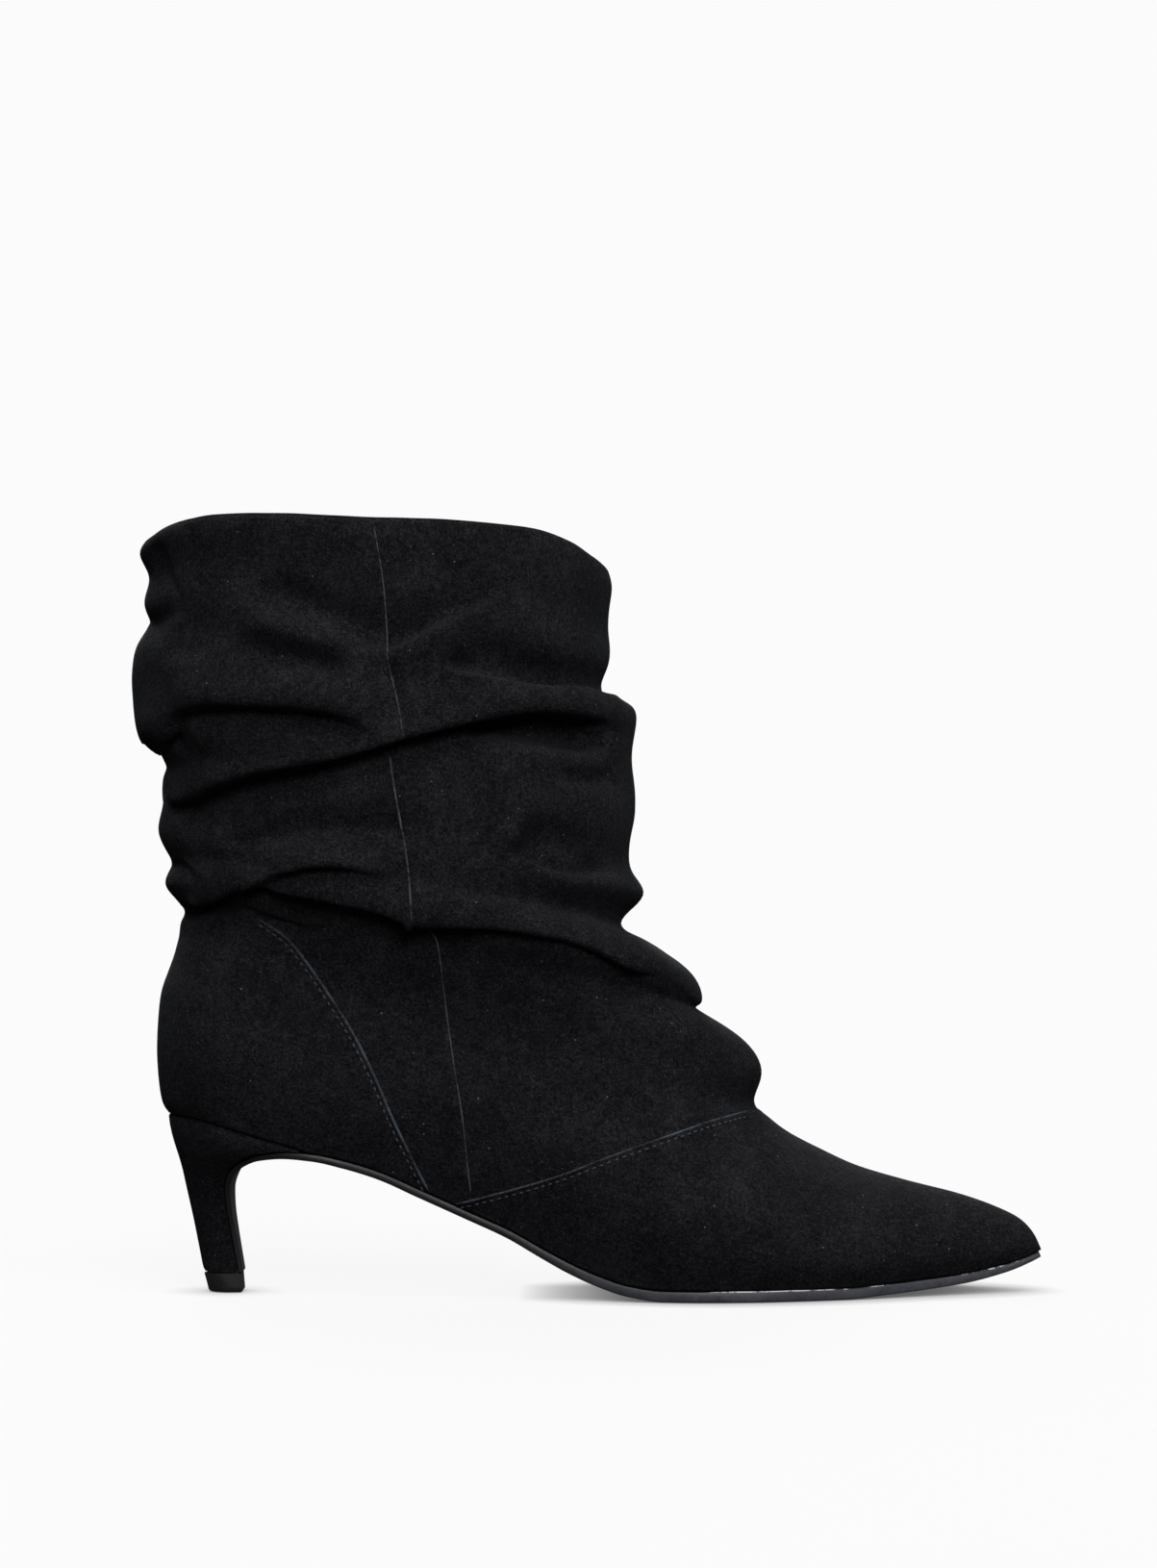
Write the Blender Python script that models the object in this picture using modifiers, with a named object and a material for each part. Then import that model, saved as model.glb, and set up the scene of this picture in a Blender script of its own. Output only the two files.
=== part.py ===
"""Slouch ankle boot, right foot: pointed toe, kitten heel, soft gathered shaft.

The last is laid out in millimetres from the back of the heel counter:
X runs to the toe, -Y is the outer (lateral) side, Z is up from the floor.
Every piece is a loft through sections worked out from the short tables below,
and an empty carries the whole boot to the centre of its footprint.
"""
import bpy
import numpy as np

# ------------------------------------------------------------------ sizes, mm
LAST_LENGTH = 262.0      # back of the counter to the tip of the toe
WALL = 2.0               # suede 1.2 and lining 0.8
GAP = 0.3                # between two pieces that meet
SAG = 0.15               # extra room over the hollow of the waist, bridged by flat facets
EDGE = 0.4               # the outsole stands this far out past the upper
SEAT_ROUND = 25.0        # length of the rounding of the heel in plan
TOE_ROUND = 9.0          # length of the rounding of the toe in plan
TOP_PIECE = 5.5          # height of the heel's top piece
INSOLE_T = 2.4           # insole board with its sock
CENTRE_X = 127.3         # middle of the boot's footprint, carried to the origin
CENTRE_Y = -0.14
MM = 0.001

AROUND = 46              # points round the upper
FINE = 6.4               # longest step between rows of the upper

# Outline of the feather edge in plan, before the ends are rounded.
PLAN_COLS = ("x", "lat", "med")
PLAN = [
    (3.4, -24.0, 24.0),
    (16.0, -25.2, 25.0),
    (34.0, -26.0, 25.0),
    (56.0, -25.4, 22.8),
    (80.0, -24.2, 19.6),
    (102.0, -24.4, 18.6),
    (124.0, -28.0, 22.4),
    (143.0, -33.0, 28.8),
    (160.0, -35.6, 34.2),
    (174.0, -34.6, 37.0),
    (188.0, -31.2, 37.2),
    (205.0, -25.2, 34.2),
    (222.0, -17.6, 28.4),
    (238.0, -10.4, 21.6),
    (252.0, -4.8, 14.2),
    (262.0, -2.2, 10.2),
]

# The outsole's lower face, from the end of the flap on the heel's breast,
# round the breast, along the waist and the tread to the toe.
# w is the half width where the plan's outline doesn't give it.
SOLE_COLS = ("x", "z", "thick", "w")      # w 0 takes the plan's outline
SOLE = [
    (25.7, 6.0, 1.3, 6.0),
    (24.7, 11.8, 1.3, 6.5),
    (23.6, 18.2, 1.3, 7.3),
    (22.6, 25.0, 1.4, 9.0),
    (22.3, 30.0, 1.5, 11.4),
    (23.4, 34.3, 1.7, 15.0),
    (26.7, 37.8, 1.8, 19.0),
    (31.8, 39.9, 1.9, 22.0),
    (39.0, 40.6, 2.0, 24.2),
    (47.0, 40.0, 2.0, 0.0),
    (56.0, 38.0, 2.1, 0.0),
    (66.0, 34.9, 2.1, 0.0),
    (78.0, 29.5, 2.2, 0.0),
    (92.0, 23.2, 2.2, 0.0),
    (104.0, 17.7, 2.3, 0.0),
    (114.0, 12.0, 2.5, 0.0),
    (122.0, 7.7, 2.7, 0.0),
    (130.0, 4.2, 2.8, 0.0),
    (139.0, 1.4, 2.9, 0.0),
    (150.0, 0.0, 3.0, 0.0),
    (203.0, 0.0, 3.0, 0.0),
    (213.0, 0.7, 2.9, 0.0),
    (226.0, 1.8, 2.8, 0.0),
    (239.0, 3.3, 2.6, 0.0),
    (251.0, 6.0, 2.1, 0.0),
    (258.0, 8.5, 1.7, 0.0),
    (262.0, 10.1, 1.4, 0.0),
]

# The seat: the upper's lower edge over the heel.
SEAT_COLS = ("x", "z")
SEAT = [(3.4, 53.0), (12.5, 52.2), (21.0, 50.2), (31.0, 47.3), (39.0, 45.0), (47.0, 42.3)]

# Ridge of the vamp, and behind it the line of the instep inside the soft folds.
RIDGE_COLS = ("x", "z")
RIDGE = [
    (0.0, 156.0), (60.0, 149.0), (100.0, 127.0), (120.0, 106.0), (135.0, 88.0), (148.0, 74.0),
    (160.0, 63.6), (171.0, 56.2), (180.0, 50.9), (188.5, 45.9), (197.4, 41.4), (207.0, 37.0),
    (222.0, 32.5), (239.0, 28.0), (250.0, 24.0), (256.0, 20.9), (260.0, 16.5), (262.0, 12.2),
]

# How far the last swells past the feather edge, at what share of its height, and
# how much its sides lean in to the crest above that.
SWELL_COLS = ("x", "out", "at", "lean")
SWELL = [
    (3.0, 0.17, 0.20, 0.00), (40.0, 0.18, 0.24, 0.00), (75.0, 0.27, 0.30, 0.08),
    (100.0, 0.32, 0.32, 0.15), (125.0, 0.25, 0.32, 0.22), (150.0, 0.17, 0.30, 0.30),
    (180.0, 0.13, 0.27, 0.32), (215.0, 0.13, 0.25, 0.22), (245.0, 0.18, 0.28, 0.10),
    (262.0, 0.20, 0.30, 0.00),
]

# Sections of the upper, feather edge to collar.  Each one runs from x_back to
# x_front; its heights are given at the back, the back quarter, the side, the
# front quarter and the front.  lift 1 counts them from the feather edge, lift 0
# from the floor.  last is the share of the last's own section; the rest is an
# oval of half widths lat and med, squarer as n grows.  crest is the radius in plan
# of the rounding at the front of the last's section, 0 where the toe gives it.
ROW_COLS = ("name", "x_back", "x_front", "back", "backq", "side", "frontq", "front",
            "lat", "med", "n", "last", "lift", "crest")
ROWS = [
    ("feather",      3.4, 262.0,   0.0,   0.0,   0.0,   0.0,   0.0, 30, 30, 2.0, 1.0, 1, 0),
    ("margin",       1.9, 262.0,   2.2,   2.2,   2.2,   2.0,   1.3, 30, 30, 2.0, 1.0, 1, 0),
    ("counter low",  0.6, 260.6,   9.0,   9.0,   9.5,   8.5,   4.9, 30, 30, 2.0, 1.0, 1, 0),
    ("counter",      0.0, 255.6,  18.0,  18.0,  19.0,  16.5,  11.6, 30, 30, 2.0, 1.0, 1, 0),
    ("toe",          0.3, 240.0,  27.5,  27.5,  27.5,  25.5,  21.6, 30, 30, 2.2, 1.0, 1, 0),
    ("ball",         1.3, 214.0,  36.0,  36.0,  35.0,  34.5,  31.2, 30, 30, 2.4, 1.0, 1, 0),
    ("vamp",         3.2, 192.5,  41.5,  40.5,  39.0,  40.0,  40.7, 30, 30, 2.5, 1.0, 1, 0),
    ("throat",       5.0, 180.8,  99.5,  95.0,  77.0,  57.0,  51.4, 32, 32, 2.3, 1.0, 0, 0),
    ("vamp seam",    5.8, 176.9, 102.5,  99.0,  82.0,  62.5,  56.2, 32, 32, 2.3, 0.9, 0, 36),
    ("instep roll",  6.5, 179.0, 105.5, 102.5,  87.5,  70.5,  64.2, 33, 33, 2.3, 0.6, 0, 27),
    ("instep top",   7.2, 172.8, 109.3, 107.5,  95.0,  80.5,  75.0, 34, 34, 2.3, 0.2, 0, 25),
    ("neck",         7.6, 160.0, 113.5, 113.5, 103.0,  91.5,  83.4, 35, 35, 2.3, 0.0, 0, 0),
    ("lip",          4.2, 161.4, 118.0, 118.0, 108.0,  96.0,  85.4, 39, 39, 2.3, 0.0, 0, 0),
    ("lip roll",     3.0, 159.6, 121.5, 122.5, 112.5, 101.5,  92.5, 42, 42, 2.2, 0.0, 0, 0),
    ("lip top",      4.6, 147.6, 126.3, 127.5, 118.5, 108.5, 101.4, 43, 43, 2.1, 0.0, 0, 0),
    ("front pinch",  2.6, 137.0, 130.5, 131.0, 123.5, 115.0, 108.8, 43.5, 43.5, 2.0, 0.0, 0, 0),
    ("small roll",   0.6, 143.8, 136.0, 136.0, 129.5, 122.0, 117.0, 44, 44, 2.0, 0.0, 0, 0),
    ("small pinch",  1.4, 140.4, 142.0, 141.5, 136.0, 129.5, 124.6, 44, 44, 2.0, 0.0, 0, 0),
    ("panel",        2.8, 141.7, 151.0, 150.5, 147.0, 143.0, 140.0, 45, 45, 2.0, 0.0, 0, 0),
    ("back pinch",   2.8, 140.8, 156.5, 158.0, 157.5, 156.5, 155.0, 45, 45, 2.0, 0.0, 0, 0),
    ("back roll",   -4.8, 141.2, 163.5, 165.0, 165.5, 166.0, 165.0, 46, 46, 2.0, 0.0, 0, 0),
    ("back roll top", -6.9, 140.6, 174.5, 175.0, 175.0, 174.0, 172.8, 46, 46, 2.0, 0.0, 0, 0),
    ("front tuck",  -6.7, 133.6, 189.5, 186.5, 183.0, 180.0, 177.4, 46, 46, 2.0, 0.0, 0, 0),
    ("back tuck",   -2.6, 134.2, 197.0, 195.0, 192.0, 189.0, 185.5, 45.5, 45.5, 2.0, 0.0, 0, 0),
    ("upper shaft", -3.8, 133.9, 203.5, 204.5, 202.5, 199.0, 194.5, 45, 45, 2.0, 0.0, 0, 0),
    ("under collar", -2.4, 134.8, 211.5, 215.5, 214.5, 211.5, 203.0, 45, 45, 2.0, 0.0, 0, 0),
    ("collar roll", -5.2, 135.0, 217.8, 223.8, 223.2, 220.5, 209.0, 45.5, 45.5, 2.0, 0.0, 0, 0),
    ("collar",      -3.2, 133.8, 221.4, 228.0, 226.9, 224.0, 213.0, 45, 45, 2.0, 0.0, 0, 0),
]

# Main folds.  A trough runs round the shaft from angle a0 to a1 (0 back,
# 90 outer side, 180 front, 270 inner side) through four heights.  depth is how
# far it sinks, up and down its width above and below, over how far the cloth
# above it hangs down across it.
FOLD_COLS = ("name", "a0", "a1", "z0", "z1", "z2", "z3", "depth", "up", "down", "over")
FOLDS = [
    ("long diagonal",   8.0, 172.0, 143.0, 159.0, 167.0, 161.0, 3.4, 5.0, 5.0, 1.2),
    ("back underside",  -14.0, 96.0, 163.0, 171.0, 174.0, 164.0, 2.6, 5.0, 4.5, 1.0),
    ("collar vee back",  40.0, 92.0, 203.0, 198.0, 193.0, 188.5, 2.0, 6.0, 5.0, 0.4),
    ("collar vee front", 92.0, 132.0, 188.5, 193.5, 198.0, 203.0, 1.8, 6.0, 5.0, 0.4),
    ("front fold",      104.0, 172.0, 184.0, 179.5, 177.0, 175.0, 2.2, 5.0, 4.0, 0.6),
    ("low band",        28.0, 104.0, 123.0, 125.0, 122.5, 120.5, 2.2, 4.5, 4.0, 0.8),
    ("front crease",    112.0, 178.0, 129.5, 126.0, 124.0, 124.0, 2.0, 4.5, 4.0, 0.6),
    ("inner diagonal", 190.0, 344.0, 163.0, 168.0, 158.0, 146.0, 3.0, 5.0, 5.0, 1.0),
    ("inner low band", 240.0, 338.0, 121.0, 124.0, 126.0, 124.0, 2.0, 4.5, 4.0, 0.6),
    ("inner collar",   236.0, 322.0, 200.0, 191.0, 189.0, 199.0, 1.8, 6.0, 5.0, 0.4),
]

# Sections of the heel: height at the back, how far along the outsole's path the
# front lies (in rows of SOLE), and half width.
HEEL_COLS = ("z_back", "along", "w")
HEEL = [
    (6.0, 0.00, 6.6), (12.0, 1.00, 7.0), (18.5, 2.02, 7.9), (25.5, 3.05, 9.7),
    (31.5, 4.15, 12.6), (37.5, 5.10, 16.6), (43.0, 6.00, 20.2), (47.5, 7.00, 23.0),
    (50.4, 8.00, 24.8), (52.3, 8.55, 25.6),
]
HEEL_BACK_COLS = ("z", "x")
HEEL_BACK = [(0.0, 15.3), (6.0, 13.8), (14.0, 12.2), (21.0, 10.8), (30.0, 8.8),
             (39.0, 6.8), (46.0, 4.9), (50.0, 4.0), (53.0, 3.6)]


# ------------------------------------------------------------------ curves
def col(table, cols, name):
    return np.array([row[cols.index(name)] for row in table], float)


def smooth(xs, ys, x):
    """Shape-keeping cubic through (xs, ys): it stays flat where the table is flat."""
    xs, ys, x = np.asarray(xs, float), np.asarray(ys, float), np.asarray(x, float)
    h = np.diff(xs)
    d = np.diff(ys) / h
    m = np.zeros_like(ys)
    for i in range(1, len(xs) - 1):
        if d[i - 1] * d[i] > 0:
            w1, w2 = 2 * h[i] + h[i - 1], h[i] + 2 * h[i - 1]
            m[i] = (w1 + w2) / (w1 / d[i - 1] + w2 / d[i])
    m[0], m[-1] = d[0], d[-1]
    xc = np.clip(x, xs[0], xs[-1])
    i = np.clip(np.searchsorted(xs, xc) - 1, 0, len(h) - 1)
    t = (xc - xs[i]) / h[i]
    return ((1 + 2 * t) * (1 - t) ** 2 * ys[i] + t * (1 - t) ** 2 * h[i] * m[i]
            + t * t * (3 - 2 * t) * ys[i + 1] + t * t * (t - 1) * h[i] * m[i + 1])


def natural(ts, pts, t):
    """Natural cubic spline through pts[k] at ts[k]; pts may be any array shape."""
    n = len(ts)
    h = np.diff(ts)
    a = np.zeros((n, n))
    rhs = np.zeros((n,) + pts.shape[1:])
    a[0, 0] = a[-1, -1] = 1.0
    for i in range(1, n - 1):
        a[i, i - 1], a[i, i], a[i, i + 1] = h[i - 1], 2 * (h[i - 1] + h[i]), h[i]
        rhs[i] = 6 * ((pts[i + 1] - pts[i]) / h[i] - (pts[i] - pts[i - 1]) / h[i - 1])
    m = np.linalg.solve(a, rhs.reshape(n, -1)).reshape(rhs.shape)
    out = []
    for v in t:
        i = int(np.clip(np.searchsorted(ts, v) - 1, 0, n - 2))
        p, q = (ts[i + 1] - v) / h[i], (v - ts[i]) / h[i]
        out.append(p * pts[i] + q * pts[i + 1]
                   + ((p ** 3 - p) * m[i] + (q ** 3 - q) * m[i + 1]) * h[i] ** 2 / 6)
    return np.array(out)


# ------------------------------------------------------------------ outsole path
def sole_path(at):
    """x, z, thickness and upward normal at 'at', counted in rows of SOLE."""
    x, z = col(SOLE, SOLE_COLS, "x"), col(SOLE, SOLE_COLS, "z")
    chord = np.concatenate([[0], np.cumsum(np.hypot(np.diff(x), np.diff(z)))])
    at = np.asarray(at, float)
    s = np.interp(at, np.arange(len(SOLE)), chord)
    px, pz = smooth(chord, x, s), smooth(chord, z, s)
    e = 0.05
    tx = smooth(chord, x, s + e) - smooth(chord, x, s - e)
    tz = smooth(chord, z, s + e) - smooth(chord, z, s - e)
    ln = np.hypot(tx, tz)
    return px, pz, smooth(chord, col(SOLE, SOLE_COLS, "thick"), s), -tz / ln, tx / ln


FLAP_ROWS = 8            # rows of SOLE whose half width is their own


def flap_half(at):
    """Half width of the outsole on the heel's breast and under the seat."""
    rows = np.arange(FLAP_ROWS + 1)
    return smooth(rows, col(SOLE, SOLE_COLS, "w")[:FLAP_ROWS + 1], np.minimum(at, FLAP_ROWS))


_at = np.linspace(8.0, len(SOLE) - 1.0, 400)
_x, _z, _t, _nx, _nz = sole_path(_at)
TOP_X, TOP_Z = _x + _nx * _t, _z + _nz * _t


def feather(x):
    """Height of the upper's lower edge: on the heel's seat, then on the outsole."""
    x = np.asarray(x, float)
    seat = smooth(col(SEAT, SEAT_COLS, "x"), col(SEAT, SEAT_COLS, "z"), x)
    sag = SAG * np.clip((x - 47.0) / 10.0, 0, 1)
    return np.where(x < 47.0, seat, np.interp(x, TOP_X, TOP_Z) + GAP + sag)


def plan(x, x_back=3.4, x_front=LAST_LENGTH):
    """Centre line and half width of the feather outline, its ends rounded."""
    x = np.asarray(x, float)
    xs = col(PLAN, PLAN_COLS, "x")
    lat = smooth(xs, col(PLAN, PLAN_COLS, "lat"), x)
    med = smooth(xs, col(PLAN, PLAN_COLS, "med"), x)
    back = np.clip((x_back + SEAT_ROUND - x) / SEAT_ROUND, 0, 1)
    front = np.clip((x - x_front + TOE_ROUND) / TOE_ROUND, 0, 1)
    half = (med - lat) / 2 * np.sqrt(1 - back ** 2) * np.sqrt(1 - front ** 2)
    return (lat + med) / 2, half


FOLD_IN = 0.25           # share of a cross-section's run that lies below its widest point


def last_point(x, share, x_back):
    """Centre line, half width and height at 'share' of the way up the last's side:
    0 at the feather edge, FOLD_IN at the widest point, 1 on the ridge."""
    mid, half = plan(x, x_back)
    low, top, out, at = last_levels(x)
    a = np.pi / 2 * np.clip((share - FOLD_IN) / (1 - FOLD_IN), 0, 1)
    below = share < FOLD_IN
    t = np.where(below, at * share / FOLD_IN, at + (1 - at) * np.sin(a))
    lean = smooth(col(SWELL, SWELL_COLS, "x"), col(SWELL, SWELL_COLS, "lean"), x)
    swell = np.where(below, 1 + out * np.sin(np.pi / 2 * np.clip(share / FOLD_IN, 0, 1)),
                     (1 + out) * np.cos(a) * (1 - lean * np.sin(a) ** 2))
    return mid, half * swell, low + (top - low) * t


def last_levels(x):
    """Feather height, ridge height, swell and its level at station x."""
    low = feather(x)
    top = np.maximum(smooth(col(RIDGE, RIDGE_COLS, "x"), col(RIDGE, RIDGE_COLS, "z"), x), low + 0.5)
    out = smooth(col(SWELL, SWELL_COLS, "x"), col(SWELL, SWELL_COLS, "out"), x)
    at = smooth(col(SWELL, SWELL_COLS, "x"), col(SWELL, SWELL_COLS, "at"), x)
    return low, top, out, at


def ridge_x(z):
    """Station where the ridge stands at height z."""
    x = np.linspace(0.0, LAST_LENGTH, 527)
    top = smooth(col(RIDGE, RIDGE_COLS, "x"), col(RIDGE, RIDGE_COLS, "z"), x)
    return np.interp(z, top[::-1], x[::-1])


def last_share(x, z):
    """How far up the last's side height z lies at station x."""
    low, top, out, at = last_levels(x)
    t = np.clip((z - low) / (top - low), 0, 1)
    high = FOLD_IN + (1 - FOLD_IN) * np.arcsin(np.clip((t - at) / (1 - at), 0, 1)) / (np.pi / 2)
    return np.where(t < at, FOLD_IN * t / at, high)


def section(row, angle):
    """Points of one section of the upper at the given angles (radians), and where
    it lies on the last: stations and shares of the way up its side."""
    r = dict(zip(ROW_COLS, row))
    a = np.mod(angle, 2 * np.pi)
    mid_x, half_x = (r["x_back"] + r["x_front"]) / 2, (r["x_front"] - r["x_back"]) / 2
    x = mid_x - half_x * np.cos(a)
    outer = a <= np.pi
    side = np.where(outer, -1.0, 1.0)
    quarter = np.where(outer, a, 2 * np.pi - a) / (np.pi / 4)
    hs = np.array([r["back"], r["backq"], r["side"], r["frontq"], r["front"]])
    z = catmull(np.concatenate([[hs[1]], hs, [hs[3]]]), quarter + 1) + r["lift"] * feather(x)
    oval = np.clip(1 - np.abs(np.cos(a)) ** r["n"], 0, 1) ** (1 / r["n"])
    y = side * oval * np.where(outer, r["lat"], r["med"])
    xs, share = x, np.zeros_like(x)
    if r["last"] > 0:
        if r["lift"]:                   # its front lies on the vamp's sloping ridge
            share = last_share(x, z)
            if r["front"] > 0:
                run = 0.5 * min(1.0, max(0.3, r["front"] / 20))
                near = np.clip((quarter - 4 + 1.3 * run) / (0.6 * run), 0, 1)
                near = near * near * (3 - 2 * near)
                start = np.interp(4 - run, quarter[outer], share[outer])
                climb = np.clip((quarter - 4 + run) / run, -1, 1)
                share = share * (1 - near) + near * (start + (1 - start) * climb)
            mid, half, z = last_point(x, share, r["x_back"])
        else:                           # level sections, stretched to reach the roll's front
            reach = np.clip((x - r["x_back"]) / (r["x_front"] - r["x_back"]), 0, 1) ** 2
            xs = x - (r["x_front"] - ridge_x(z)) * reach
            share = last_share(xs, z)
            mid, half, _ = last_point(xs, share, r["x_back"])
        if r["crest"] > 0:
            room = 2 * r["crest"] * np.maximum(r["x_front"] - x, 1e-6)
            half = (np.maximum(half, 1e-3) ** -6 + room ** -3) ** (-1 / 6)
            half = np.where(room > 1e-4, half, 0.0)
        y = r["last"] * (mid + side * half) + (1 - r["last"]) * y
    return np.stack([x, y, z], axis=-1), np.stack([xs, share], axis=-1)


def catmull(values, at):
    """Catmull-Rom through values at whole numbers, read at 'at'."""
    i = np.clip(np.floor(at).astype(int), 1, len(values) - 3)
    t = at - i
    p0, p1, p2, p3 = values[i - 1], values[i], values[i + 1], values[i + 2]
    return 0.5 * (2 * p1 + (p2 - p0) * t + (2 * p0 - 5 * p1 + 4 * p2 - p3) * t ** 2
                  + (3 * p1 - p0 - 3 * p2 + p3) * t ** 3)


def base_surface(angles, longest):
    """Grid of points [row, angle] on the upper before its folds.  Up to the throat
    they lie on the last itself; above it they are splined through the sections."""
    pts, lay = (np.array(v) for v in zip(*[section(row, angles) for row in ROWS]))
    step = np.linalg.norm(np.diff(pts, axis=0), axis=-1)
    mean = step.mean(axis=1)
    ts = np.concatenate([[0], np.cumsum(np.sqrt(mean))])
    t = []
    for k in range(len(ROWS) - 1):
        n = max(1, int(np.ceil(mean[k] / longest)))
        t += list(np.linspace(ts[k], ts[k + 1], n, endpoint=False))
    t = np.array(t + [ts[-1]])
    grid = natural(ts, pts, t)
    names = [row[0] for row in ROWS]
    k, top = names.index("vamp"), names.index("throat")
    backs = natural(ts[:top + 1], col(ROWS[:top + 1], ROW_COLS, "x_back"), t[t <= ts[top]])
    for i, (x, share) in enumerate(np.moveaxis(natural(ts[:top + 1], lay[:top + 1], t[t <= ts[top]]), -1, 1)):
        mid, half, z = last_point(x, np.clip(share, 0, 1), backs[i])
        on_last = np.stack([x, mid + np.where(angles <= np.pi, -1, 1) * half, z], axis=-1)
        w = np.clip((ts[top] - t[i]) / (ts[top] - ts[k]), 0, 1)
        w = w * w * (3 - 2 * w)
        grid[i] = w * on_last + (1 - w) * grid[i]
    return grid


def fold_shift(angle_deg, z, folds):
    """Outward push and downward pull of the folds at angles and heights."""
    push, drop = np.zeros_like(z), np.zeros_like(z)
    for row in folds:
        f = dict(zip(FOLD_COLS, row))
        a = np.mod(angle_deg - f["a0"] + 20.0, 360.0) - 20.0
        span = f["a1"] - f["a0"]
        u = a / span
        knots = np.array([2 * f["z0"] - f["z1"], f["z0"], f["z1"], f["z2"], f["z3"],
                          2 * f["z3"] - f["z2"]])
        uc = np.clip(u, 0, 1)
        zc = catmull(knots, uc * 3 + 1)
        slope = (catmull(knots, np.clip(uc + 0.01, 0, 1) * 3 + 1)
                 - catmull(knots, np.clip(uc - 0.01, 0, 1) * 3 + 1)) / (0.02 * span)
        lean = 1 / np.sqrt(1 + slope ** 2)      # about a millimetre of girth to a degree
        d = (z - zc) * lean
        ends = np.clip(np.minimum(u, 1 - u) / 0.16, 0, 1)
        ends = ends * ends * (3 - 2 * ends)
        width = np.where(d > 0, f["up"], f["down"])
        bed = np.exp(-(d / width) ** 2)
        roll = np.exp(-((d - 1.7 * f["up"]) / (0.9 * f["up"])) ** 2)
        push += ends * f["depth"] * (0.30 * roll - bed)
        drop += ends * f["over"] * np.exp(-((d - 0.9 * f["up"]) / (0.9 * f["up"])) ** 2)
    return push, drop


def grid_normals(p):
    """Outward unit normals of a grid [row, angle], closed round the angle."""
    du = np.roll(p, -1, axis=1) - np.roll(p, 1, axis=1)
    dv = np.empty_like(p)
    dv[1:-1], dv[0], dv[-1] = p[2:] - p[:-2], p[1] - p[0], p[-1] - p[-2]
    n = np.cross(dv, du)
    return -n / np.maximum(np.linalg.norm(n, axis=-1, keepdims=True), 1e-9)


# ------------------------------------------------------------------ mesh helpers
def new_object(name, verts, faces, material, parent, collection):
    mesh = bpy.data.meshes.new(name)
    mesh.from_pydata([tuple(float(c) * MM for c in v) for v in verts], [], faces)
    mesh.validate()
    mesh.update()
    obj = bpy.data.objects.new(name, mesh)
    collection.objects.link(obj)
    obj.parent = parent
    mesh.materials.append(material)
    mesh.shade_smooth()
    mesh.set_sharp_from_angle(angle=np.radians(40))
    return obj


def rings_to_solid(rings, cap_strips):
    """Faces of a closed loft through equal rings; ends capped by strips or a fan."""
    n = len(rings[0])
    verts = [p for ring in rings for p in ring]
    faces = []
    for k in range(len(rings) - 1):
        for i in range(n):
            j = (i + 1) % n
            faces.append((k * n + i, k * n + j, (k + 1) * n + j, (k + 1) * n + i))
    for base, flip in ((0, True), ((len(rings) - 1) * n, False)):
        if cap_strips:                 # ring runs front-lat .. back .. front-med
            for i in range((n - 1) // 2):
                a, b = base + i, base + i + 1
                c, d = base + n - 2 - i, base + n - 1 - i
                quad = (a, b, c, d) if b != c else (a, b, d)
                faces.append(tuple(reversed(quad)) if flip else quad)
        else:
            ring = tuple(range(base, base + n))
            faces.append(tuple(reversed(ring)) if flip else ring)
    return verts, faces


def material(name, colour, roughness, coat=0.0):
    m = bpy.data.materials.new(name)
    m.use_nodes = True
    b = m.node_tree.nodes["Principled BSDF"]
    b.inputs["Base Color"].default_value = (*colour, 1.0)
    b.inputs["Roughness"].default_value = roughness
    b.inputs["Metallic"].default_value = 0.0
    b.inputs["Coat Weight"].default_value = coat
    m.diffuse_color = (*colour, 1.0)
    return m


# ------------------------------------------------------------------ the pieces
def build_upper(mat, parent, coll):
    angles = np.linspace(0, 2 * np.pi, AROUND, endpoint=False)
    p = base_surface(angles, FINE)
    deg = np.degrees(angles)[None, :] + np.zeros(p.shape[:2])
    push, drop = fold_shift(deg, p[..., 2], FOLDS)
    p = p + grid_normals(p) * push[..., None]
    p[..., 2] -= drop
    rows = p.shape[0]
    faces = []
    for k in range(rows - 1):
        for i in range(AROUND):
            j = (i + 1) % AROUND
            faces.append((k * AROUND + i, k * AROUND + j, (k + 1) * AROUND + j, (k + 1) * AROUND + i))
    obj = new_object("upper", p.reshape(-1, 3), faces, mat, parent, coll)
    shell = obj.modifiers.new("wall", "SOLIDIFY")
    shell.thickness = WALL * MM
    shell.offset = -1.0
    shell.use_even_offset = False
    shell.thickness_clamp = 0.0
    return obj


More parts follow.
